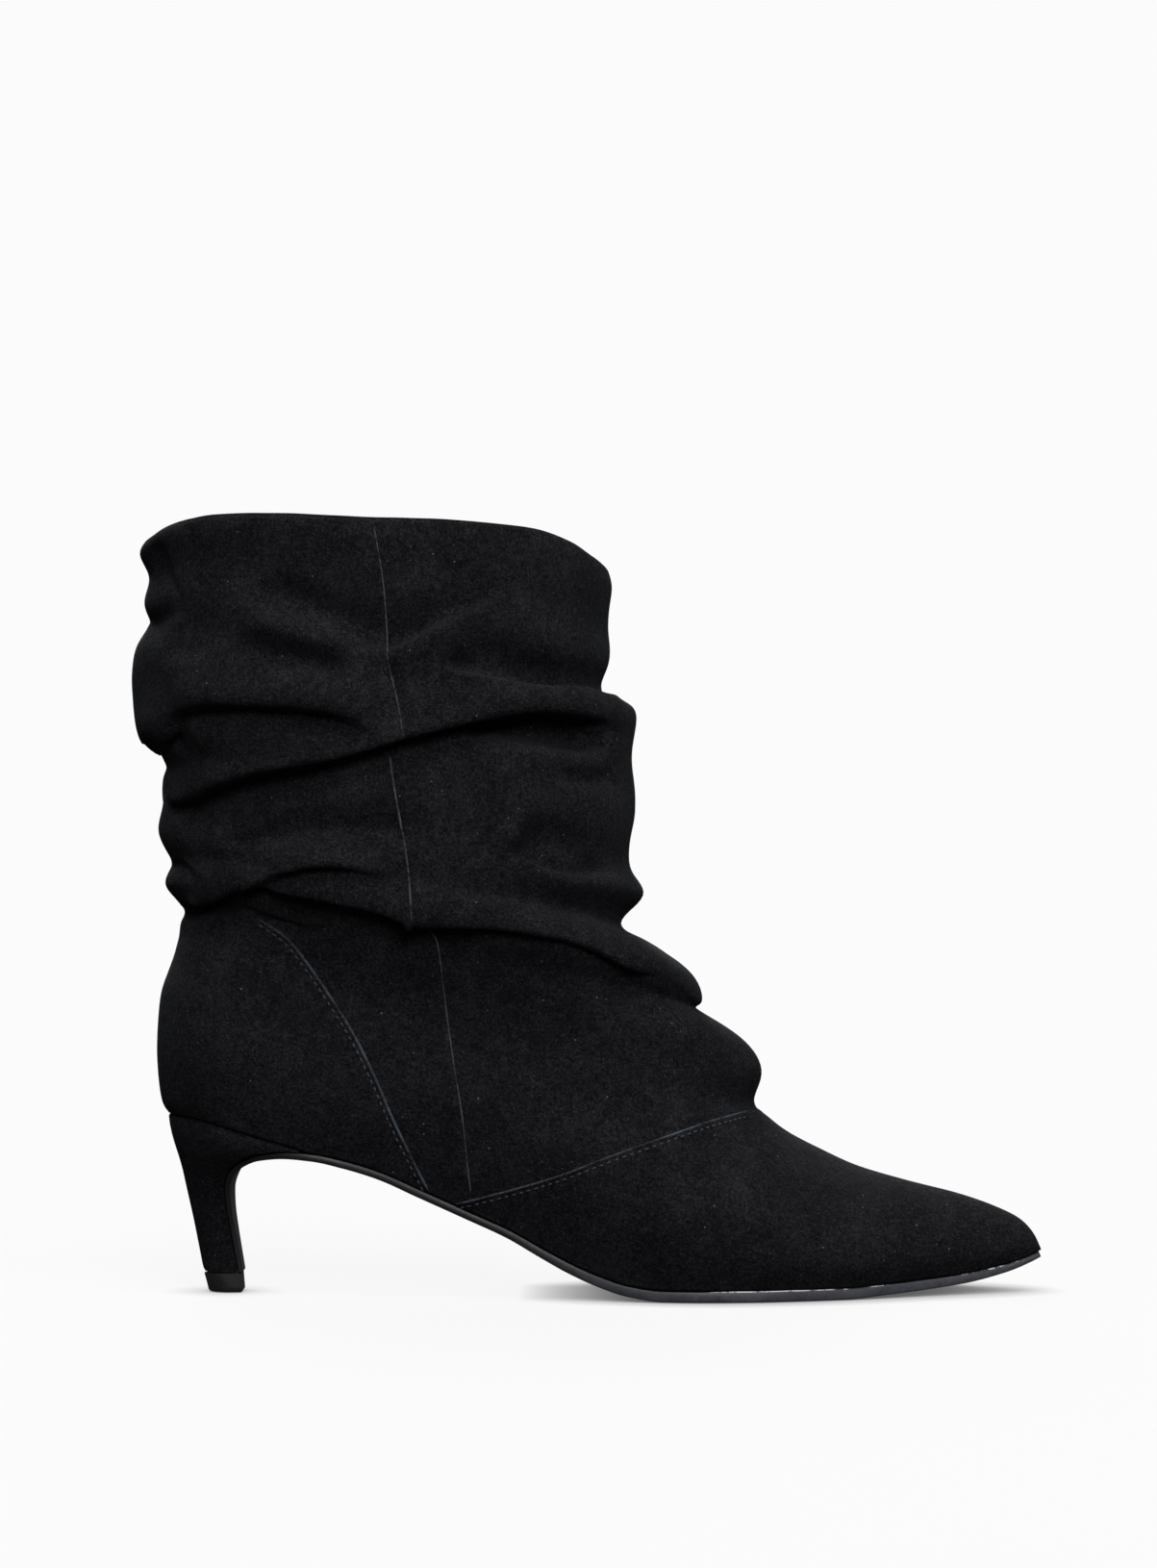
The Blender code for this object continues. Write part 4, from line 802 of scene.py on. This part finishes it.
def build_seams(tree, cut_edge_highlight_mat, thread_mat, ridge_highlight_mat):
    made = []
    for row in SEAMS:
        f = dict(zip(SEAM_COLS, row))
        verts, faces, tv, tf = [], [], [], []
        line = spline_line(f["line"], 90)
        for inner in (False, True):
            pts = on_surface(tree, line, inner)
            p, n = even_path(pts, 0.8)
            loft(ribbon(p, n, f["width"], f["height"]), verts, faces)
            if f["pitch"]:
                t = np.gradient(line, axis=0)
                t /= np.linalg.norm(t, axis=1, keepdims=True)
                side = line + np.stack([-t[:, 1], t[:, 0]], axis=-1) * f["stitch"]
                p, n = even_path(on_surface(tree, side[2:-2], inner), f["pitch"])
                t = np.gradient(p, axis=0)
                t /= np.linalg.norm(t, axis=1, keepdims=True)
                for k in range(len(p)):
                    stitch(p[k], t[k], n[k], 1.35, 0.42, tv, tf)
        made.append(make_mesh(f["name"], verts, faces, [cut_edge_highlight_mat if f["pitch"] else ridge_highlight_mat]))
        if tv:
            made.append(make_mesh(f["name"] + "_stitches", tv, tf, [thread_mat]))
    return made


def build_fine_outsole(mats):
    """The outsole with rounded edges; its side wall is the painted edge."""
    at = np.concatenate([np.linspace(0.0, 9.0, 70), np.linspace(9.1, 19.0, 90),
                         np.linspace(19.1, 25.0, 70), np.linspace(25.04, 25.95, 24)])
    x, z, thick, nx, nz = sole_path(at)
    mid, half = plan(x, 3.4 - EDGE, LAST_LENGTH + EDGE)
    share = np.clip(at - FLAP_ROWS, 0, 1)
    half = flap_half(at) * (1 - share) + (half + EDGE) * share
    mid = mid * np.clip((x - 27.0) / 18.0, 0, 1) * (at > 5)
    rings, slots = [], []
    for k in range(len(at)):
        h, t = half[k], thick[k]
        rb, rt = min(0.55, t * 0.3, h * 0.3), min(0.32, t * 0.2, h * 0.2)
        ring = []
        for f in (-1.0, -0.8, -0.4, 0.0, 0.4, 0.8, 1.0):
            ring.append((f * (h - rb), 0.0))
        for a in np.radians([30, 60, 90]):
            ring.append((h - rb + rb * np.sin(a), rb - rb * np.cos(a)))
        for q in (0.35, 0.7):
            ring.append((h + 0.10 * np.sin(np.pi * q), rb + (t - rb - rt) * q))
        for a in np.radians([0, 30, 60, 90]):
            ring.append((h - rt + rt * np.cos(a), t - rt + rt * np.sin(a)))
        # the hidden top is crowned, so that no light passes between it and the upper
        crown = 1.1
        for f in (0.8, 0.4, 0.0, -0.4, -0.8):
            ring.append((f * (h - rt), t + crown * (1.0 - f * f)))
        for a in np.radians([90, 60, 30, 0]):
            ring.append((-(h - rt + rt * np.cos(a)), t - rt + rt * np.sin(a)))
        for q in (0.7, 0.35):
            ring.append((-(h + 0.10 * np.sin(np.pi * q)), rb + (t - rb - rt) * q))
        for a in np.radians([90, 60, 30]):
            ring.append((-(h - rb + rb * np.sin(a)), rb - rb * np.cos(a)))
        rings.append([(x[k] + nx[k] * up, mid[k] + y, z[k] + nz[k] * up) for y, up in ring])
    m = len(rings[0])
    verts = np.array(rings).reshape(-1, 3)
    faces = []
    for k in range(len(rings) - 1):
        for i in range(m):
            j = (i + 1) % m
            faces.append((k * m + i, k * m + j, (k + 1) * m + j, (k + 1) * m + i))
            slots.append(0 if (i < 7 or i == m - 1) else 1)
    for base, flip in ((0, True), ((len(rings) - 1) * m, False)):
        loop = list(range(base, base + m))
        faces.append(tuple(loop[::-1] if flip else loop))
        slots.append(1)
    return make_mesh("sole_leather", verts, faces, mats, slots, sharp=50)


def build_fine_heel(mat):
    back_z, back_x = col(HEEL_BACK, HEEL_BACK_COLS, "z"), col(HEEL_BACK, HEEL_BACK_COLS, "x")
    rings = []
    rows = list(np.linspace(0, len(HEEL) - 1, 64)) + [len(HEEL) - 1.0]
    idx = np.arange(len(HEEL))
    n = 26
    for k, r in enumerate(rows):
        zb = float(smooth(idx, col(HEEL, HEEL_COLS, "z_back"), r))
        along = float(smooth(idx, col(HEEL, HEEL_COLS, "along"), r))
        w = float(smooth(idx, col(HEEL, HEEL_COLS, "w"), r))
        x, z, t, nx, nz = (float(v) for v in sole_path(along))
        ws = float(flap_half(along))
        fx, fz = x + nx * (t + GAP), z + nz * (t + GAP)
        last = k == len(rows) - 1
        xb = float(smooth(back_z, back_x, zb))
        share = np.clip((zb - 36.0) / 16.0, 0, 1) ** 1.3
        rings.append(heel_ring(3.4 if last else xb, zb, fx, fz, w, min(w * 0.97, ws),
                               1.0 if last else share, last, n))
    rings = np.array(rings)
    # the cover turns in at the seat and at the top piece
    for k, inset in ((0, 0.35), (1, 0.08), (len(rings) - 1, 0.55), (len(rings) - 2, 0.15)):
        c = rings[k].mean(axis=0)
        out = rings[k] - c
        ln = np.linalg.norm(out[:, :2], axis=1, keepdims=True)
        rings[k][:, :2] -= out[:, :2] / ln * inset
    # and its hidden seat stands up into the upper's underside
    c = rings[-1].mean(axis=0)
    rings = np.concatenate([rings, [c + (rings[-1] - c) * 0.8 + [0.0, 0.0, 1.0]]])
    m = rings.shape[1]
    faces = []
    for k in range(len(rings) - 1):
        for i in range(m):
            j = (i + 1) % m
            faces.append((k * m + i, (k + 1) * m + i, (k + 1) * m + j, k * m + j))
    for base, flip in ((0, False), ((len(rings) - 1) * m, True)):
        for i in range((m - 1) // 2):
            a, b, c, d = base + i, base + i + 1, base + m - 2 - i, base + m - 1 - i
            quad = (a, b, c, d) if b != c else (a, b, d)
            faces.append(quad[::-1] if flip else quad)
    return make_mesh("heel_cover", rings.reshape(-1, 3), faces, [mat], None, sharp=55)


def build_fine_top_piece(mat):
    rings = []
    rows = ((0.0, 15.75, 25.25, 5.85), (0.12, 15.45, 25.45, 6.1), (0.4, 15.2, 25.6, 6.3),
            (1.6, 14.9, 25.5, 6.38), (3.2, 14.5, 25.35, 6.45), (5.0, 14.0, 25.2, 6.5),
            (TOP_PIECE, 13.98, 25.2, 6.5), (TOP_PIECE, 14.9, 24.4, 5.6), (TOP_PIECE + 1.1, 14.9, 24.4, 5.6))
    n = 26
    for z, xb, xf, w in rows:
        rings.append(heel_ring(xb, z, xf, z, w, w * 0.9, n=n))
    rings = np.array(rings)
    m = rings.shape[1]
    faces = []
    for k in range(len(rings) - 1):
        for i in range(m):
            j = (i + 1) % m
            faces.append((k * m + i, (k + 1) * m + i, (k + 1) * m + j, k * m + j))
    for base, flip in ((0, False), ((len(rings) - 1) * m, True)):
        for i in range((m - 1) // 2):
            a, b, c, d = base + i, base + i + 1, base + m - 2 - i, base + m - 1 - i
            quad = (a, b, c, d) if b != c else (a, b, d)
            faces.append(quad[::-1] if flip else quad)
    return make_mesh("top_piece", rings.reshape(-1, 3), faces, [mat], None, sharp=50)


# --------------------------------------------------------------- materials
class Nodes:
    """Short hand for laying out one material's nodes."""

    def __init__(self, name):
        self.mat = bpy.data.materials.new(name)
        self.mat.use_nodes = True
        self.nt = self.mat.node_tree
        self.bsdf = self.nt.nodes["Principled BSDF"]
        self.where = self.nt.nodes.new("ShaderNodeTexCoord").outputs["Object"]

    def add(self, kind, **values):
        node = self.nt.nodes.new(kind)
        for key, value in values.items():
            if key in ("operation", "data_type", "feature", "interpolation", "blend_type", "mode"):
                setattr(node, key, value)
        for key, value in values.items():
            if key in ("operation", "data_type", "feature", "interpolation", "blend_type", "mode"):
                continue
            socket = node.inputs[int(key[1:])] if key[0] == "i" and key[1:].isdigit() else node.inputs[key.replace("_", " ")]
            if isinstance(value, bpy.types.NodeSocket):
                self.nt.links.new(value, socket)
            else:
                socket.default_value = value
        return node

    def noise(self, scale, detail=2.0, rough=0.5, where=None):
        return self.add("ShaderNodeTexNoise", Vector=where or self.where, Scale=scale,
                        Detail=detail, Roughness=rough).outputs["Fac"]

    def math(self, op, a, b=0.0, c=None):
        values = {"operation": op, "i0": a, "i1": b}
        if c is not None:
            values["i2"] = c
        return self.add("ShaderNodeMath", **values).outputs[0]

    def ramp(self, fac, stops):
        node = self.add("ShaderNodeValToRGB", Fac=fac)
        el = node.color_ramp.elements
        while len(el) < len(stops):
            el.new(0.5)
        for e, (pos, colour) in zip(el, stops):
            e.position = pos
            e.color = (*colour, 1.0) if len(colour) == 3 else colour
        return node.outputs["Color"]

    def span(self, value, a, b, lo, hi):
        node = self.add("ShaderNodeMapRange", Value=value)
        for key, v in zip(("From Min", "From Max", "To Min", "To Max"), (a, b, lo, hi)):
            node.inputs[key].default_value = v
        return node.outputs["Result"]

    def blend(self, fac, a, b):
        node = self.nt.nodes.new("ShaderNodeMix")
        node.data_type = "RGBA"
        for socket, value in ((node.inputs[0], fac), (node.inputs[6], a), (node.inputs[7], b)):
            if isinstance(value, bpy.types.NodeSocket):
                self.nt.links.new(value, socket)
            elif isinstance(value, tuple):
                socket.default_value = (*value, 1.0)
            else:
                socket.default_value = value
        return node.outputs[2]

    def bump(self, height, strength, distance, normal=None):
        node = self.add("ShaderNodeBump", Height=height, Strength=strength, Distance=distance)
        if normal is not None:
            self.nt.links.new(normal, node.inputs["Normal"])
        return node.outputs["Normal"]

    def set(self, **values):
        for key, value in values.items():
            self.bsdf.inputs[key.replace("_", " ")].default_value = value

    def wire(self, name, out):
        self.nt.links.new(out, self.bsdf.inputs[name])


def suede(name, dark, light, lint=True):
    """Napped suede: fine fibres, brushed patches and a little lint."""
    s = Nodes(name)
    nap = s.noise(2300.0, 3.0, 0.65)
    fine = s.noise(1050.0, 3.0, 0.62)
    patch = s.noise(360.0, 4.0, 0.6)
    wide = s.noise(80.0, 4.0, 0.6)
    mixed = s.math("ADD", s.math("MULTIPLY", nap, 0.46), s.math("MULTIPLY", fine, 0.28))
    mixed = s.math("ADD", mixed, s.math("MULTIPLY", patch, 0.13))
    mixed = s.math("ADD", mixed, s.math("MULTIPLY", wide, 0.13))
    fac = s.span(mixed, 0.425, 0.605, 0.0, 1.0)
    colour = s.blend(s.math("POWER", fac, 1.5), dark, light)
    if lint:
        spots = s.add("ShaderNodeTexVoronoi", feature="F1", Vector=s.where, Scale=320.0)
        near = s.span(spots.outputs["Distance"], 0.040, 0.085, 1.0, 0.0)
        pick = s.add("ShaderNodeSeparateColor", Color=spots.outputs["Color"]).outputs["Red"]
        rare = s.math("POWER", s.span(pick, 0.40, 1.0, 0.0, 1.0), 1.6)
        on = s.math("MULTIPLY", near, rare)
        colour = s.blend(s.math("MULTIPLY", on, 0.85), colour, (0.17, 0.175, 0.19))
    s.wire("Base Color", colour)
    s.wire("Roughness", s.span(patch, 0.3, 0.7, 0.90, 1.0))
    s.set(Specular_IOR_Level=0.04, Sheen_Weight=0.015, Sheen_Roughness=0.55,
          Sheen_Tint=(0.75, 0.85, 1.0, 1.0))
    b = s.bump(nap, 0.70, 0.00035)
    b = s.bump(fine, 0.60, 0.00060, b)
    b = s.bump(patch, 0.35, 0.0012, b)
    s.wire("Normal", b)
    s.mat.diffuse_color = (*light, 1.0)
    return s.mat


def satin(name, dark, light, rough, level, coat=0.0, grain=700.0, bump=0.12, spread=0.14):
    """Painted or moulded edge, rubbed here and there."""
    s = Nodes(name)
    fine = s.noise(grain, 3.0, 0.6)
    wide = s.noise(90.0, 4.0, 0.6)
    fac = s.span(s.math("ADD", s.math("MULTIPLY", fine, 0.4), s.math("MULTIPLY", wide, 0.6)), 0.5 - spread, 0.5 + spread, 0.0, 1.0)
    s.wire("Base Color", s.blend(fac, dark, light))
    s.wire("Roughness", s.span(wide, 0.3, 0.7, rough - 0.07, rough + 0.10))
    s.set(Specular_IOR_Level=level, Coat_Weight=coat, Coat_Roughness=0.25)
    s.wire("Normal", s.bump(fine, bump, 0.0002))
    s.mat.diffuse_color = (*light, 1.0)
    return s.mat


def painted_edge(name):
    """The sole's painted edge: grey with random rubbed patches round the forefoot, darkened towards the waist as
    painted shade under the upper's overhang.
    """
    s = Nodes(name)
    fine = s.noise(900.0, 3.0, 0.6)
    wide = s.noise(120.0, 4.0, 0.6)
    along = s.add("ShaderNodeSeparateXYZ", Vector=s.where).outputs["X"]
    # painted shade: the edge's colour darkens from the forefoot back to the waist, where the upper's overhang shades it
    waist_shade_ramp = s.span(along, -0.022, 0.032, 0.0, 1.0)
    fac = s.math("MULTIPLY", waist_shade_ramp, s.span(s.math("ADD", s.math("MULTIPLY", fine, 0.4), s.math("MULTIPLY", wide, 0.6)),
                                          0.34, 0.60, 0.35, 1.0))
    s.wire("Base Color", s.blend(fac, (0.0065, 0.0070, 0.0085), (0.048, 0.050, 0.060)))
    s.wire("Roughness", s.span(wide, 0.3, 0.7, 0.40, 0.56))
    s.set(Specular_IOR_Level=0.36)
    s.wire("Normal", s.bump(fine, 0.15, 0.0002))
    s.mat.diffuse_color = (0.03, 0.03, 0.035, 1.0)
    return s.mat


def edge_highlight_material(name):
    """Painted highlight: a light line that comes and goes, standing in for the glint along the sole's top edge."""
    s = Nodes(name)
    fine = s.noise(520.0, 3.0, 0.6)
    along = s.add("ShaderNodeSeparateXYZ", Vector=s.where).outputs["X"]
    thin = s.span(along, 0.058, 0.072, 0.0, 0.10)
    on = s.span(s.math("SUBTRACT", fine, thin), 0.40, 0.52, 0.0, 1.0)
    # painted highlight: the light colour stands in for the glint on the sole's top edge
    s.wire("Base Color", s.blend(on, (0.012, 0.012, 0.015), (0.66, 0.67, 0.71)))
    s.wire("Roughness", s.span(fine, 0.3, 0.7, 0.35, 0.55))
    s.set(Specular_IOR_Level=0.5)
    s.wire("Normal", s.bump(fine, 0.2, 0.0002))
    s.mat.diffuse_color = (0.5, 0.5, 0.52, 1.0)
    return s.mat


def leather(name, dark, light, rough):
    """Smooth lining leather with its pores and faint creases."""
    s = Nodes(name)
    cells = s.add("ShaderNodeTexVoronoi", feature="DISTANCE_TO_EDGE", Vector=s.where, Scale=620.0).outputs["Distance"]
    wide = s.noise(60.0, 4.0, 0.6)
    fine = s.noise(480.0, 3.0, 0.6)
    s.wire("Base Color", s.blend(s.span(wide, 0.35, 0.65, 0.0, 1.0), dark, light))
    s.wire("Roughness", s.span(fine, 0.3, 0.7, rough - 0.06, rough + 0.08))
    s.set(Specular_IOR_Level=0.35)
    b = s.bump(s.span(cells, 0.0, 0.12, 0.0, 1.0), 0.18, 0.0003)
    s.wire("Normal", s.bump(fine, 0.12, 0.0004, b))
    s.mat.diffuse_color = (*light, 1.0)
    return s.mat


def thread(name, dark, light):
    s = Nodes(name)
    twist_and_glint = s.add("ShaderNodeTexWave", Vector=s.where, Scale=900.0, Distortion=1.0).outputs["Fac"]
    # painted highlight: the wave's light bands stand in for glints on the black thread's twists
    s.wire("Base Color", s.blend(twist_and_glint, dark, light))
    s.set(Roughness=0.62, Specular_IOR_Level=0.30)
    s.wire("Normal", s.bump(twist_and_glint, 0.25, 0.0001))
    return s.mat


# --------------------------------------------------------------- the boot
SUEDE = suede("black_suede", (0.0022, 0.0022, 0.0027), (0.0205, 0.0205, 0.0232))
COVER = suede("black_suede_heel", (0.0022, 0.0022, 0.0027), (0.0190, 0.0190, 0.0215))
# the vamp and counter seams' cut edge: its light grey is partly the edge's own colour, partly painted highlight where
# it catches the light
CUT_EDGE_AND_HIGHLIGHT = satin("cut_edge_and_highlight", (0.008, 0.0095, 0.0125), (0.052, 0.060, 0.076), 0.85, 0.10, grain=950.0, bump=0.5, spread=0.10)
# painted highlight: the side seams' strip is light where its raised ridge catches the light
SEAM_RIDGE_HIGHLIGHT = satin("seam_ridge_painted_highlight", (0.006, 0.0063, 0.0075), (0.074, 0.077, 0.090), 0.90, 0.08, grain=900.0, bump=0.5, spread=0.12)
# black thread; its light tone is painted highlight
THREAD = thread("black_thread", (0.014, 0.0155, 0.019), (0.066, 0.072, 0.086))
LINING = leather("lining_leather", (0.0105, 0.0100, 0.0098), (0.0175, 0.0168, 0.0164), 0.52)
SOCK = leather("sock_leather", (0.014, 0.013, 0.0125), (0.024, 0.0225, 0.0215), 0.48)
TREAD = satin("sole_tread", (0.010, 0.0105, 0.0115), (0.020, 0.021, 0.023), 0.50, 0.40, 0.0, 420.0, 0.35)
SOLE_EDGE = painted_edge("sole_edge")
TIP = satin("top_piece_rubber", (0.0075, 0.0078, 0.0085), (0.0125, 0.0130, 0.0140), 0.38, 0.30, 0.0, 1100.0, 0.25)

upper, shape = build_suede_upper([SUEDE])
lining = build_lining(LINING)
outsole = build_fine_outsole([TREAD, SOLE_EDGE])
heel = build_fine_heel(COVER)
tip = build_fine_top_piece(TIP)
seams = build_seams(tree_of(upper), CUT_EDGE_AND_HIGHLIGHT, THREAD, SEAM_RIDGE_HIGHLIGHT)
# a strip that carries a painted highlight along the sole's top edge
edge_highlight = build_edge_highlight(edge_highlight_material("sole_edge_painted_highlight"))

for piece, slot in [(upper, "suede"), (lining, "suede"), (outsole, "sole"), (heel, "heel_cover"),
                    (tip, "top_piece"), (edge_highlight, "sole")] + [(s, "suede") for s in seams]:
    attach(piece, "root")
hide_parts("upper")
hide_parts("outsole")
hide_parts("heel")
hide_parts("heel_top_piece")
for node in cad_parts.values():
    mats = node.data.materials
    for k in range(len(mats)):
        mats[k] = SOCK

# --------------------------------------------------------------- the studio
def studio_white():
    """White of its own even glow; near the boot a part of it is lit and takes the shadow, and there the glow itself is
    dimmed by ambient occlusion as a painted contact shadow.
    """
    s = Nodes("studio_white")
    out = s.nt.nodes["Material Output"]
    place = s.add("ShaderNodeVectorMath", i0=s.where)
    place.operation = "LENGTH"
    near = s.span(place.outputs["Value"], 0.30, 0.75, 1.0, 0.0)
    s.set(Roughness=1.0, Specular_IOR_Level=0.0)
    speck = s.noise(6.0, 2.0, 0.5)
    s.wire("Base Color", s.blend(speck, (LIT_PART * 0.99,) * 3, (LIT_PART,) * 3))
    lit = s.nt.nodes.new("ShaderNodeAddShader")
    contact_occlusion = s.nt.nodes.new("ShaderNodeAmbientOcclusion")
    contact_occlusion.samples = 12
    contact_occlusion.inputs["Distance"].default_value = 0.014
    # painted contact shadow: the floor's glow is dimmed by ambient occlusion close under the boot
    painted_contact_shadow = s.span(s.math("POWER", contact_occlusion.outputs["AO"], 0.8), 0.0, 1.0, 0.10 * FLOOR_GLOW, FLOOR_GLOW)
    under = s.add("ShaderNodeEmission", Color=(1.0, 1.0, 1.0, 1.0), Strength=painted_contact_shadow)
    far = s.add("ShaderNodeEmission", Color=(1.0, 1.0, 1.0, 1.0), Strength=WHITE)
    s.nt.links.new(under.outputs[0], lit.inputs[0])
    s.nt.links.new(s.bsdf.outputs[0], lit.inputs[1])
    mix = s.nt.nodes.new("ShaderNodeMixShader")
    s.nt.links.new(near, mix.inputs[0])
    s.nt.links.new(far.outputs[0], mix.inputs[1])
    s.nt.links.new(lit.outputs[0], mix.inputs[2])
    s.nt.links.new(mix.outputs[0], out.inputs["Surface"])
    return s.mat


def bowl():
    """Floor and backdrop in one round sheet, seen but giving the boot no light."""
    prof = [(r, 0.0) for r in (0.0, 0.15, 0.3, 0.5, 0.8, 1.2, 1.8, 2.4)]
    prof += [(2.4 + 0.8 * np.sin(a), 0.8 - 0.8 * np.cos(a)) for a in np.radians(np.arange(10, 91, 10))]
    prof += [(3.2, 2.0), (3.2, 5.0)]
    n = 72
    verts = [(0.0, 0.0, -0.0002)]
    for r, z in prof[1:]:
        verts += [(r * np.cos(a), r * np.sin(a), z - 0.0002) for a in np.linspace(0, 2 * np.pi, n, endpoint=False)]
    faces = [(0, 1 + i, 1 + (i + 1) % n) for i in range(n)]
    for k in range(len(prof) - 2):
        faces += [(1 + k * n + i, 1 + (k + 1) * n + i, 1 + (k + 1) * n + (i + 1) % n, 1 + k * n + (i + 1) % n)
                  for i in range(n)]
    me = bpy.data.meshes.new("studio_bowl")
    me.from_pydata(verts, [], faces)
    me.shade_smooth()
    me.materials.append(studio_white())
    ob = bpy.data.objects.new("studio_bowl", me)
    bpy.context.scene.collection.objects.link(ob)
    ob.visible_diffuse = False
    ob.visible_glossy = False
    return ob


def area(name, place, aim, size, power, colour=(1.0, 1.0, 1.0)):
    light = bpy.data.lights.new(name, "AREA")
    light.shape = "RECTANGLE"
    light.size, light.size_y = size
    light.energy = power
    light.color = colour
    ob = bpy.data.objects.new(name, light)
    ob.location = place
    ob.rotation_euler = (Vector(aim) - Vector(place)).to_track_quat("-Z", "Y").to_euler()
    ob.visible_camera = False
    bpy.context.scene.collection.objects.link(ob)
    return ob


WHITE = 0.965            # the photograph's paper white
LIT_PART = 0.055         # share of the floor's white that the lights give
FLOOR_GLOW = 0.882
bowl()
scene = bpy.context.scene
scene.view_settings.view_transform = "Standard"
scene.view_settings.look = "None"
world = bpy.data.worlds.new("studio")
world.use_nodes = True
tree = world.node_tree
back = tree.nodes["Background"]
back.inputs["Color"].default_value = (1.0, 1.0, 1.0, 1.0)
rays = tree.nodes.new("ShaderNodeLightPath")
level = tree.nodes.new("ShaderNodeMapRange")
level.inputs["To Min"].default_value = 0.08
level.inputs["To Max"].default_value = WHITE
tree.links.new(rays.outputs["Is Camera Ray"], level.inputs["Value"])
tree.links.new(level.outputs["Result"], back.inputs["Strength"])
scene.world = world
area("top_light", (0.15, -0.75, 1.6), (0.0, 0.0, 0.10), (1.2, 0.8), 23.5)
area("front_light", (0.25, -1.9, 1.0), (0.0, 0.0, 0.12), (1.0, 0.7), 28.5)
area("toe_light", (1.9, -0.5, 1.2), (0.0, 0.0, 0.08), (0.9, 0.9), 7.0)
area("back_light", (-0.6, 1.4, 1.6), (0.0, 0.0, 0.10), (1.4, 1.2), 30.0)
area("inner_light", (-0.25, 1.9, 0.9), (0.0, 0.0, 0.10), (1.0, 0.7), 20.0)

yaw = np.radians(0.5)
aim = Vector((EYE_X - CENTRE_X, 0.0, EYE_Z)) * MM
gaze = Vector((-np.sin(yaw), np.cos(yaw), 0.0))
cam_data = bpy.data.cameras.new("camera")
cam_data.lens = 116.31
cam_data.sensor_width = 36.0
cam_data.clip_start, cam_data.clip_end = 0.05, 30.0
cam = bpy.data.objects.new("camera", cam_data)
cam.location = aim - gaze * (VIEW_D * MM)
cam.rotation_euler = gaze.to_track_quat("-Z", "Y").to_euler()
scene.collection.objects.link(cam)
scene.camera = cam

bpy.context.view_layer.update()
